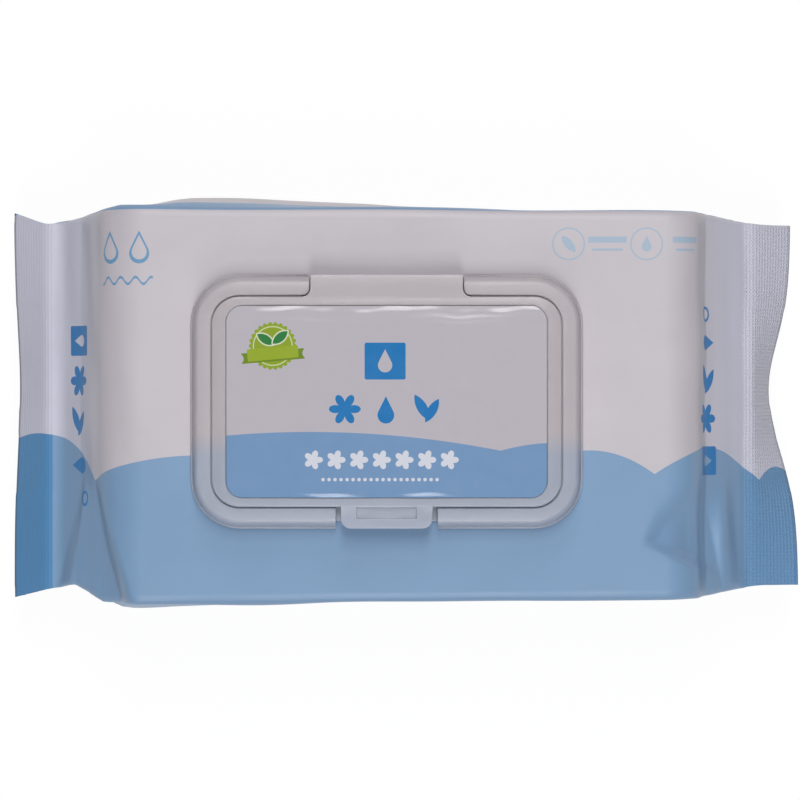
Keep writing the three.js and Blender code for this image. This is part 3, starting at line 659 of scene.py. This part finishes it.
FIN_EDGES = (-1.3, 6.2)  # y of the fin seal's long edges
FIN_RIB_PITCH = 2.2


def fin_seal(material):
    """The long seal on the back: a flat strip with crimped ribs that follows the back's own curve."""
    along = np.linspace(-LEFT_SEAL + 0.5, RIGHT_SEAL - 0.5, 420)
    across = np.linspace(*FIN_EDGES, 13)
    half = profile_value(along, "half")[:, None]
    x = (np.sign(along) * profile_value(along, "out"))[:, None] + 0 * across
    y = across[None, :] + 0 * x
    z = HALF_THICKNESS - half + 0 * across
    points = np.stack([x, y, z], axis=-1)[:, ::-1]
    ribs = 0.05 * np.cos(2 * pi * along / FIN_RIB_PITCH)[:, None]
    ribs = ribs * smooth(FIN_EDGES[0], 0.4, y[:, ::-1])
    edges = 0.1 * bell(y[:, ::-1], FIN_EDGES[1], 0.8)
    points = with_relief(points, 0.42 - channel_depth(half) + ribs - edges) + MIDDLE
    corners = grid_faces(*points.shape[:2]).reshape(-1, 4)
    piece = mesh_piece("fin_seal", points, corners, material, "pack")
    return wall(piece, 0.3)


# Wipes

STACK_END_RADIUS = 14.0
LAYER_PITCH = 2.4  # height of the folds that can be told apart in the stack's sides
EMBOSS_PITCH = 6.0


def wipes_stack(material):
    """A soft block of folded sheets: rounded rectangles carried along x, with layers in its sides."""
    length = STACK_HIGH[0] - STACK_LOW[0]
    width = STACK_HIGH[1] - STACK_LOW[1]
    height = STACK_HIGH[2] - STACK_LOW[2]
    ends = np.linspace(0, pi / 2, 12)
    radius = STACK_END_RADIUS
    out = np.concatenate([
        -length / 2 + radius * (1 - np.sin(ends[::-1])),
        np.linspace(-length / 2 + radius, length / 2 - radius, 90)[1:-1],
        length / 2 - radius * (1 - np.sin(ends)),
    ])
    fall = np.concatenate([
        radius * (1 - np.cos(ends[::-1])),
        np.zeros(88),
        radius * (1 - np.cos(ends)),
    ])
    rim = rounded_rectangle(width, height, 3.0, steps=6)
    dense = []
    for start, end in zip(rim, np.roll(rim, -1, axis=0)):
        count = max(1, int(np.hypot(*(end - start)) / 1.2))
        dense.append(start + (end - start) * np.arange(count)[:, None] / count)
    rim = np.concatenate(dense)
    y, z = rim[:, 0][None, :], rim[:, 1][None, :]
    shrink = 1 - fall[:, None] * 2 / height
    x = out[:, None] + 0 * y
    points = np.stack([x, y + 0 * x, z * shrink + 0 * x], axis=-1)
    on_side = smooth(width / 2 - 3, width / 2, np.abs(points[..., 1]))
    layer = np.abs(np.sin(pi * points[..., 2] / LAYER_PITCH))
    rows, files = (np.sin(2 * pi * points[..., i] / EMBOSS_PITCH) for i in (0, 1))
    quilt = 0.12 * rows * files
    slack = 0.3 * ripples(points[..., 0], points[..., 1], 12, 6, (18, 45))
    height_change = -0.5 * on_side * layer + (quilt + slack - 0.35) * (1 - on_side)
    points = with_relief(points, height_change)
    points[..., 2] += (STACK_HIGH[2] + STACK_LOW[2]) / 2
    fold = smooth(3.6, 4.4, points[..., 1]) * (points[..., 2] > STACK_HIGH[2] - 4)
    points[..., 2] -= 0.4 * fold
    on_top = smooth(34, 44, points[..., 2])
    points[..., 2] -= on_top * 1.1 * pocket_depth(points[..., 0], points[..., 1])
    points = points + MIDDLE
    corners = grid_faces(*points.shape[:2], wrap=True).reshape(-1, 4).tolist()
    first = list(range(points.shape[1]))
    last = [(len(out) - 1) * points.shape[1] + j for j in first]
    mesh = bpy.data.meshes.new("wipes")
    mesh.from_pydata(points.reshape(-1, 3) * MM, [], corners + [first, last[::-1]])
    mesh.shade_smooth()
    mesh.materials.append(material)
    piece = placed("wipes", mesh)
    fix_normals(mesh)
    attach(piece, "pack")
    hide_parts("wipes_stack")
    return piece


def fix_normals(mesh):
    """Faces point outwards after ends are closed."""
    work = bmesh.new()
    work.from_mesh(mesh)
    bmesh.ops.recalc_face_normals(work, faces=work.faces)
    work.to_mesh(mesh)
    work.free()


def wipe_tuft(material):
    """The pulled-up corner of the next wipe: a crumpled strip that rises in a fold and lies over."""
    u = np.linspace(-1, 1, 61)[:, None]
    v = np.linspace(0, 1, 41)[None, :]
    reach = 17 * (1 - 0.55 * smooth(0.35, 1.0, v))
    x = u * reach + 1.6 * np.sin(2.2 * u + 3 * v)
    y = -6.0 + 13.0 * v - 2.0 * v * np.cos(3.4 * u) + 0 * u
    z = 0.25 + 4.4 * np.sin(pi * np.clip(v, 0, 1) ** 0.8) * (1 - 0.55 * u**2)
    z = z + 0.45 * np.sin(9 * u + 4 * v) * smooth(0.05, 0.4, v) + 0.25 * np.cos(15 * u - 3 * v) * v
    z = np.clip(z, 0.2, 5.2)
    points = np.stack([x + 0 * y, y + 0 * x, z], axis=-1)
    points = points + lid_middle(STACK_HIGH[2])
    corners = grid_faces(*points.shape[:2]).reshape(-1, 4)
    piece = mesh_piece("wipe_tuft", points, corners, material, "pack")
    return wall(piece, 0.35)


# Lid


def moulded_copy(node, name, material, body):
    """A copy of a moulding of the frame, merged, with its flat faces joined and its edges rounded."""
    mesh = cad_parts[node].data.copy()
    mesh.name = name
    work = bmesh.new()
    work.from_mesh(mesh)
    bmesh.ops.remove_doubles(work, verts=work.verts, dist=0.002 * MM)
    bmesh.ops.dissolve_limit(work, angle_limit=radians(1.0), verts=work.verts, edges=work.edges)
    work.to_mesh(mesh)
    work.free()
    mesh.materials.clear()
    mesh.materials.append(material)
    mesh.shade_smooth()
    mesh.set_sharp_from_angle(angle=radians(34))
    piece = placed(name, mesh)
    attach(piece, body)
    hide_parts(node)
    bevel = piece.modifiers.new("rounded edges", "BEVEL")
    bevel.width = 0.1 * MM
    bevel.segments = 2
    bevel.limit_method = "ANGLE"
    bevel.angle_limit = radians(40)
    bevel.use_clamp_overlap = False
    bevel.harden_normals = False
    return piece


LABEL_GROWTH = 0.15  # closes the gap to the edge of its recess
LABEL_CORNER = 4.0


def label_sheet(material):
    """The label: rows of points, shortened in the rounded corners, with buckles along its long edges."""
    length = LABEL_HIGH[0] - LABEL_LOW[0] + 2 * LABEL_GROWTH
    width = LABEL_HIGH[1] - LABEL_LOW[1] + 2 * LABEL_GROWTH
    corner = LABEL_CORNER + LABEL_GROWTH
    v = np.sin(np.linspace(-pi / 2, pi / 2, 121))[:, None]
    u = np.linspace(-1, 1, 221)[None, :]
    y = v * width / 2
    past = np.clip(np.abs(y) - (width / 2 - corner), 0, corner)
    x = u * (length / 2 - corner + np.sqrt(corner**2 - past**2))
    y = y + 0 * x
    points = np.stack([x, y, label_relief(x, y)], axis=-1).transpose(1, 0, 2)
    points = points + lid_middle(LABEL_HIGH[2])
    corners = grid_faces(*points.shape[:2]).reshape(-1, 4)
    piece = mesh_piece("label_sheet", points, corners, material, "lid")
    wall(piece, 0.2)
    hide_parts("lid_label")
    return piece


def label_relief(x, y):
    """The label's long edges stand up in uneven runs, with a low second buckle below the upper one."""
    run = 0.75 + 0.25 * np.sin(2 * pi * x / 31 + 0.9) + 0.14 * np.sin(2 * pi * x / 9.1)
    crinkle = 0.35 * np.sin(x / 5) + 0.2 * np.sin(x / 1.9 + 1.3)
    top = 0.25 * smooth(23.0, 24.9, y - crinkle) * run * smooth(-39, -30, x)
    second_run = np.maximum(bell(x, 20, 14), 0.6 * bell(x, -20, 9))
    second = 0.12 * bell(y, 20.9 + 0.03 * x + crinkle, 0.9) * second_run
    low_run = np.maximum(bell(x, -14.5, 8), bell(x, 10, 7))
    low = 0.22 * smooth(23.4, 24.9, -y + 0.6 * crinkle) * low_run
    swell = 0.03 * ripples(x, y, 21, 6, (14, 40))
    return top + second + low + swell


# Materials

WHITE_FILM = "cac4c9"
WHITE_PAINTED_COOL_SHADE = "ccccd9"  # painted shade: the cool tint of the shaded ends, painted into the film's white
COOL_SHADE_RUN = (80.0, 96.0)  # where that painted shade begins and is full, along the film
BLUE_INK = "80a1c2"
# Painted shade: the seals turn away from the light, so their blue is painted darker and stronger, most
# at the left.
BLUE_PAINTED_SHADE_LEFT = "588fbd"
BLUE_PAINTED_SHADE_RIGHT = "6a94bb"
STRONG_BLUE = "1f78b8"
THIN_BLUE = "6f9cc0"
PALE_LINE = "a9bccd"
MOTIF_COLUMNS = (
    dict(
        x=-96.5, heights=(17.0, 6.4, -4.5, -16.0, -24.7), sizes=(4.4, 4.4, 4.2, 3.6),
        ring_x=-93.5, turn=90,
    ),
    dict(
        x=86.5, heights=(-14.7, -3.6, 6.6, 16.4, 23.9), sizes=(4.2, 4.2, 4.2, 3.4),
        ring_x=86.0, turn=-90,
    ),
)
FILM_HILLS = [
    (-7.6, -111.6, 0.0188),
    (-13.1, -53.5, 0.0064),
    (-10.0, 0.0, 0.0100),
    (-11.8, 48.1, 0.0220),
    (-11.0, 85.0, 0.0172),
    (-16.6, 114.5, 0.0800),
]


def film_print(tree, p, along, across):
    """The film's colours: white above a scalloped line and pale blue below it, with small motifs;
    painted shade makes the white cooler at the ends and the blue darker on the seals.
    """
    lower = below_hills(tree, along, across, FILM_HILLS)
    far_band = bar(tree, laid(tree, p, 0, 55.0), 400, 4.0, 0.1)
    blue = either(tree, lower, far_band)
    # Painted shade: the blue is darker and stronger on the seals, which turn away from the light.
    at_left_seal = put(tree, "MapRange", {0: along, 1: -LEFT_SEAL + 0.2, 2: -LEFT_SEAL - 0.4})
    at_right_seal = put(tree, "MapRange", {0: along, 1: RIGHT_SEAL - 4.0, 2: RIGHT_SEAL})
    # Painted shade: the film's white turns cool towards the shaded ends.
    outwards = maths(tree, "ABSOLUTE", along)
    painted_cool_shade = put(tree, "MapRange", {0: outwards, 1: COOL_SHADE_RUN[0], 2: COOL_SHADE_RUN[1]})
    white = inked(tree, linear(WHITE_FILM), painted_cool_shade, linear(WHITE_PAINTED_COOL_SHADE))
    pale = inked(tree, linear(BLUE_INK), at_left_seal, linear(BLUE_PAINTED_SHADE_LEFT))
    pale = inked(tree, pale, at_right_seal, linear(BLUE_PAINTED_SHADE_RIGHT))
    colour = inked(tree, white, blue, pale)
    columns = either(tree, *(motif_column(tree, p, **column) for column in MOTIF_COLUMNS))
    colour = inked(tree, colour, columns, linear(STRONG_BLUE))
    colour = inked(tree, colour, drops_over_wave(tree, p), linear(THIN_BLUE))
    return inked(tree, colour, care_signs(tree, p), linear(PALE_LINE))


def tile(tree, p, half, turn):
    """A square with a drop left white in it."""
    square = bar(tree, p, half, 0.9 * half, 0.5)
    hole = drop(tree, laid(tree, p, 0, 0, turn), 0.58 * half)
    return maths(tree, "SUBTRACT", square, hole, use_clamp=True)


def sprig(tree, p, size):
    """Two leaves that lean apart."""
    left = leaf(tree, laid(tree, p, -0.32 * size, 0.1 * size, 30), size, 0.34 * size)
    right = leaf(tree, laid(tree, p, 0.34 * size, -0.1 * size, -30), 0.9 * size, 0.31 * size)
    return either(tree, left, right)


def motif_column(tree, p, x, heights, sizes, ring_x, turn):
    """Five motifs one under the other beside an end of the pouch."""
    return either(
        tree,
        tile(tree, laid(tree, p, x, heights[0]), sizes[0], turn),
        flower(tree, laid(tree, p, x, heights[1]), sizes[1], 6, 0.5),
        sprig(tree, laid(tree, p, x, heights[2]), sizes[2]),
        drop(tree, laid(tree, p, x, heights[3], turn), sizes[3]),
        ring(tree, laid(tree, p, ring_x, heights[4]), 1.7, 0.35),
    )


def drops_over_wave(tree, p):
    """Two outlined drops over a thin wavy line."""
    masks = []
    for place in (-77.6, -69.2):
        at = laid(tree, p, place, 41.0)
        whole, hole = drop(tree, at, 4.4), drop(tree, at, 3.3)
        masks.append(maths(tree, "SUBTRACT", whole, hole, use_clamp=True))
    parts = put(tree, "SeparateXYZ", [p]).node
    swing = maths(tree, "MULTIPLY", parts.outputs[0], 1.5)
    swing = maths(tree, "SINE", swing)
    line = maths(tree, "MULTIPLY_ADD", swing, 0.9, 32.4)
    away = maths(tree, "SUBTRACT", parts.outputs[1], line)
    away = maths(tree, "ABSOLUTE", away)
    thin = maths(tree, "LESS_THAN", away, 0.34)
    short = bar(tree, laid(tree, p, -73.2, 32.4), 7.6, 3, 0.2)
    masks.append(maths(tree, "MULTIPLY", thin, short))
    return either(tree, *masks)


def care_signs(tree, p):
    """Two thin circles, one with a leaf and one with a drop, and short bars beside each."""
    masks = [
        leaf(tree, laid(tree, p, 42.5, 41.9, 40), 2.8, 1.1),
        drop(tree, laid(tree, p, 62.8, 41.9), 2.1),
    ]
    for place, words, half in ((42.5, 52.6, 5.0), (62.8, 73.6, 4.0)):
        masks.append(ring(tree, laid(tree, p, place, 41.9), 4.1, 0.2))
        masks.append(bar(tree, laid(tree, p, words, 43.0), half, 0.8, 0.3))
        masks.append(bar(tree, laid(tree, p, words, 40.4), half * 0.8, 0.3, 0.2))
    return either(tree, *masks)


def printed_film():
    """Laminated polypropylene, gravure printed and heat sealed: satin, with ribs in the seals."""
    material, tree, shader = new_material("laminated film, printed and heat sealed")
    uv = put(tree, "UVMap", uv_map="film")
    parts = put(tree, "SeparateXYZ", [uv]).node
    along, across = parts.outputs[0], parts.outputs[1]
    colour = film_print(tree, uv, along, across)
    place = put(tree, "TexCoord", out=3)
    mottle = put(tree, "TexNoise", {"Vector": place, "Scale": 55.0, "Detail": 3.0, "Roughness": 0.55})
    tint = put(tree, "MapRange", {0: mottle, 1: 0.3, 2: 0.7, 3: 0.975, 4: 1.02})
    tree.links.new(shaded(tree, colour, tint), shader.inputs["Base Color"])
    gloss = put(tree, "MapRange", {0: mottle, 1: 0.3, 2: 0.7, 3: 0.36, 4: 0.46})
    tree.links.new(gloss, shader.inputs["Roughness"])
    knurl = seal_knurl(tree, along, across)
    crinkle = put(tree, "TexNoise", {"Vector": place, "Scale": 420.0, "Detail": 2.0})
    fine = put(tree, "Bump", {"Strength": 0.06, "Distance": 0.0006, "Height": crinkle})
    normal = put(tree, "Bump", {"Strength": 1.0, "Distance": 0.00009, "Height": knurl, "Normal": fine})
    tree.links.new(normal, shader.inputs["Normal"])
    set_shader(shader, Specular_IOR_Level=0.45, IOR=1.49)
    return material


KNURL_PITCH = 0.95


def seal_knurl(tree, along, across):
    """Pressed pattern of the seals: small pyramids at the right, faint ribs at the left."""
    right = put(tree, "MapRange", {0: along, 1: RIGHT_SEAL - 2.0, 2: RIGHT_SEAL - 1.0})
    left = put(tree, "MapRange", {0: along, 1: -LEFT_SEAL + 0.2, 2: -LEFT_SEAL - 0.4, 4: 0.25})
    rows = maths(tree, "MULTIPLY", along, 2 * pi / KNURL_PITCH)
    rows = maths(tree, "SINE", rows)
    files = maths(tree, "MULTIPLY", across, 2 * pi / KNURL_PITCH)
    files = maths(tree, "SINE", files)
    waffle = maths(tree, "MAXIMUM", rows, files)
    waffle = maths(tree, "MULTIPLY", waffle, right)
    streaks = maths(tree, "MULTIPLY", rows, left)
    return maths(tree, "ADD", waffle, streaks)


def nonwoven():
    """Spunlace viscose, wet: matt white fibres with an embossed diamond pattern."""
    material, tree, shader = new_material("spunlace nonwoven, wet")
    place = put(tree, "TexCoord", out=3)
    strands = {"Vector": place, "Scale": 1400.0, "Detail": 4.0, "Distortion": 1.2}
    fibres = put(tree, "TexNoise", strands)
    cloud = put(tree, "TexNoise", {"Vector": place, "Scale": 120.0, "Detail": 2.0})
    shade = put(tree, "MapRange", {0: cloud, 1: 0.35, 2: 0.65})
    colour = inked(tree, linear("dfe1e0"), shade, linear("ecedeb"))
    tree.links.new(colour, shader.inputs["Base Color"])
    emboss = put(tree, "TexVoronoi", {"Vector": place, "Scale": 620.0, "Randomness": 0.25})
    rough = put(tree, "Bump", {"Strength": 0.5, "Distance": 0.0002, "Height": fibres})
    normal = put(tree, "Bump", {"Strength": 0.4, "Distance": 0.0003, "Height": emboss, "Normal": rough})
    tree.links.new(normal, shader.inputs["Normal"])
    set_shader(shader, Roughness=0.8, Specular_IOR_Level=0.35)
    return material


MILKY_WHITE = "c1babd"
MILKY_OVER_BLUE_PAINTED_SHADE = "acb3c0"
TINT_RUN = (-8.0, -14.0)  # y where the blue film's tint and the painted shade begin and are full


def moulded_white():
    """Polypropylene, injection moulded: milky, its lower part tinted by the blue film behind it, with
    painted shade and painted bounce light from the film.
    """
    material, tree, shader = new_material("polypropylene, injection moulded")
    place = put(tree, "TexCoord", out=3)
    in_mm = put(tree, "VectorMath", {0: place, 3: 1 / MM}, operation="SCALE")
    parts = put(tree, "SeparateXYZ", [in_mm]).node
    # Partly painted light: the lower part is darker and bluer, for the blue film behind it and for
    # painted shade with bounce light from the film.
    over_blue_and_painted_shade = put(tree, "MapRange", {0: parts.outputs[1], 1: TINT_RUN[0], 2: TINT_RUN[1]})
    cloud = put(tree, "TexNoise", {"Vector": place, "Scale": 30.0, "Detail": 2.0})
    milky = put(tree, "MapRange", {0: cloud, 1: 0.3, 2: 0.7, 3: 0.97, 4: 1.02})
    colour = inked(tree, linear(MILKY_WHITE), over_blue_and_painted_shade, linear(MILKY_OVER_BLUE_PAINTED_SHADE))
    tree.links.new(shaded(tree, colour, milky), shader.inputs["Base Color"])
    grain = put(tree, "TexNoise", {"Vector": place, "Scale": 2600.0, "Detail": 2.0})
    normal = put(tree, "Bump", {"Strength": 0.12, "Distance": 0.0001, "Height": grain})
    tree.links.new(normal, shader.inputs["Normal"])
    set_shader(shader, Roughness=0.36, IOR=1.49, Subsurface_Weight=0.75, Subsurface_Scale=3 * MM)
    shader.inputs["Subsurface Radius"].default_value = (1.0, 1.0, 1.0)
    return material


LABEL_HILLS = [(-7.8, -19.8, 0.0020), (-10.6, 44.0, 0.0097)]
LABEL_WHITE = "beb9bf"
LABEL_BLUE = "7799bf"
ROW_WHITE = "d9dce4"
BADGE_PLACE = (-29.4, 14.4)


def label_print(tree, p):
    """The label's colours, from its middle: white over blue, a badge, a tile and rows of motifs."""
    parts = put(tree, "SeparateXYZ", [p]).node
    lower = below_hills(tree, parts.outputs[0], parts.outputs[1], LABEL_HILLS)
    colour = inked(tree, linear(LABEL_WHITE), lower, linear(LABEL_BLUE))
    colour = green_badge(tree, laid(tree, p, *BADGE_PLACE), colour)
    motifs = either(
        tree,
        tile(tree, laid(tree, p, -0.4, 10.5), 5.3, 0),
        flower(tree, laid(tree, p, -10.8, -1.9), 4.1, 6, 0.55),
        drop(tree, laid(tree, p, -0.2, -2.2), 3.6),
        sprig(tree, laid(tree, p, 10.4, -1.9), 3.9),
    )
    colour = inked(tree, colour, motifs, linear(STRONG_BLUE))
    return inked(tree, colour, white_row(tree, p), linear(ROW_WHITE))


def green_badge(tree, p, colour):
    """A scalloped green rosette with a thin ring, a swallow-tailed ribbon and two outlined leaves."""
    colour = inked(tree, colour, flower(tree, p, 6.2, 26, 0.1), linear("8ea528"))
    colour = inked(tree, colour, ring(tree, p, 5.0, 0.16), linear("cbd6a0"))
    for x, y, turn in ((-1.9, 1.7, 58), (1.9, 2.2, -50)):
        at = laid(tree, p, x, y, turn)
        colour = inked(tree, colour, leaf(tree, at, 2.9, 1.45), linear("d8dfc0"))
        colour = inked(tree, colour, leaf(tree, at, 2.5, 1.1), linear("2c7d3c"))
    across = laid(tree, p, 0, -1.9, 5)
    tails = bar(tree, laid(tree, across, 0, -0.7), 8.1, 1.35, 0.1)
    notches = either(
        tree,
        disc(tree, laid(tree, across, -8.9, -0.7), 1.3),
        disc(tree, laid(tree, across, 8.9, -0.7), 1.3),
    )
    tails = maths(tree, "SUBTRACT", tails, notches, use_clamp=True)
    colour = inked(tree, colour, tails, linear("6f8a1c"))
    return inked(tree, colour, bar(tree, across, 6.6, 1.6, 0.3), linear("97ad2b"))


def white_row(tree, p):
    """Seven small blooms in a row, repeated at an even pitch, over a dotted line."""
    blooms = laid(tree, p, -1.4, -15.0)
    at = repeated(tree, blooms, 5.85, 3.5)
    blooms = within(tree, blooms, 5.85 * 3.5, flower(tree, at, 2.5, 5, 0.5))
    dots = laid(tree, p, -1.7, -20.1)
    at = repeated(tree, dots, 1.55, 10)
    dots = within(tree, dots, 1.55 * 10, disc(tree, at, 0.45))
    return either(tree, blooms, dots)


def repeated(tree, p, pitch, count):
    """The coordinates started again at every pitch, with a row of twice the count round the middle."""
    start = laid(tree, p, -count * pitch, 0)
    inputs = [start, (pitch, 999.0, 999.0), (0.0, -499.0, -499.0)]
    wrapped = put(tree, "VectorMath", inputs, operation="WRAP")
    return laid(tree, wrapped, pitch / 2, 0)


def within(tree, p, half, mask):
    """The mask, cut off past half the row's length."""
    row = bar(tree, p, half, 4, 0.1)
    return maths(tree, "MULTIPLY", mask, row)


def label_film():
    """Coated paper label under clear film: glossy, with small sharp highlights on its buckles."""
    material, tree, shader = new_material("coated label, clear film over print")
    place = put(tree, "TexCoord", out=3)
    in_mm = put(tree, "VectorMath", {0: place, 3: 1 / MM}, operation="SCALE")
    p = put(tree, "VectorMath", [in_mm, tuple(LID_CENTRE)], operation="SUBTRACT")
    p = put(tree, "VectorMath", [p, (1, 1, 0)], operation="MULTIPLY")
    colour = label_print(tree, p)
    tree.links.new(colour, shader.inputs["Base Color"])
    dust = put(tree, "TexNoise", {"Vector": place, "Scale": 260.0, "Detail": 3.0})
    gloss = put(tree, "MapRange", {0: dust, 1: 0.3, 2: 0.7, 3: 0.2, 4: 0.27})
    tree.links.new(gloss, shader.inputs["Roughness"])
    set_shader(shader, IOR=1.5, Specular_IOR_Level=0.5, Coat_Weight=0.25, Coat_Roughness=0.12)
    return material


# Scene


def floor():
    """A pale floor, white to the camera, which keeps most of its shadow."""
    material, tree, shader = new_material("studio paper, white")
    shader.inputs["Base Color"].default_value = linear("bcbcbc")
    set_shader(shader, Roughness=0.9, Specular_IOR_Level=0.1)
    glow = put(tree, "Emission", {"Color": (1, 1, 1, 1), "Strength": 1.08})
    ray = put(tree, "LightPath").node
    kinds = ("Is Camera Ray", "Is Glossy Ray", "Is Transmission Ray")
    seen = either(tree, *(ray.outputs[kind] for kind in kinds))
    share = maths(tree, "MULTIPLY", seen, 0.88)
    shown = put(tree, "MixShader", [share, shader.outputs[0], glow])
    tree.links.new(shown, tree.nodes["Material Output"].inputs["Surface"])
    half = 3000.0
    corners = np.array([[-half, -half, 0], [half, -half, 0], [half, half, 0], [-half, half, 0]])
    mesh = bpy.data.meshes.new("floor")
    mesh.from_pydata(corners * MM, [], [(0, 1, 2, 3)])
    mesh.materials.append(material)
    plane = placed("floor", mesh)


LAMP_WHITE = (1, 0.975, 0.965)


def lamp(name, place, size, power):
    """A softbox at a place, turned towards the pack, in metres and watts."""
    data = bpy.data.lights.new(name, "AREA")
    data.shape = "RECTANGLE"
    data.size, data.size_y = size
    data.energy = power
    data.color = LAMP_WHITE
    box = placed(name, data)
    box.rotation_euler = (-Vector(place)).to_track_quat("-Z", "Y").to_euler()
    box.location = place


def studio():
    """Softboxes high above the two long sides, low ones for those sides, and little light around."""
    world = bpy.data.worlds.new("studio")
    bpy.context.scene.world = world
    world.use_nodes = True
    tree = world.node_tree
    back = tree.nodes["Background"]
    back.inputs["Color"].default_value = (0.8, 0.93, 1.18, 1)
    back.inputs["Strength"].default_value = 0.13
    white = put(tree, "Background", {"Color": (1, 1, 1, 1), "Strength": 1.0})
    ray = put(tree, "LightPath").node
    shown = put(tree, "MixShader", [ray.outputs["Is Camera Ray"], back.outputs[0], white])
    tree.links.new(shown, tree.nodes["World Output"].inputs["Surface"])
    for name, side in (("behind", 1), ("in front", -1)):
        lamp("high softbox " + name, (0.05, 0.72 * side, 1.3), (0.4, 0.9), 8.6)
        lamp("low softbox " + name, (0.0, 1.3 * side, 0.7), (0.4, 0.5), 3.6)


LENS = 164.4
VIEW_FROM = (-1.35, 1.30, 1002.0)  # from the pouch's middle


def camera():
    """Straight down on the pack, with the pack's middle a little to the side of the view's."""
    data = bpy.data.cameras.new("camera")
    data.sensor_width = 36
    data.lens = LENS
    view = placed("camera", data)
    view.location = Vector(MIDDLE + VIEW_FROM) * MM
    bpy.context.scene.camera = view
    bpy.context.scene.view_settings.view_transform = "Standard"


def main():
    camera()
    studio()
    floor()
    film = printed_film()
    wipes = nonwoven()
    plastic = moulded_white()
    film_pouch(film)
    opening_lip(film)
    fin_seal(film)
    wipes_stack(wipes)
    wipe_tuft(wipes)
    moulded_copy("lid_base", "lid_frame", plastic, "pack")
    moulded_copy("flip_lid", "lid_plate", plastic, "lid")
    label_sheet(label_film())


main()
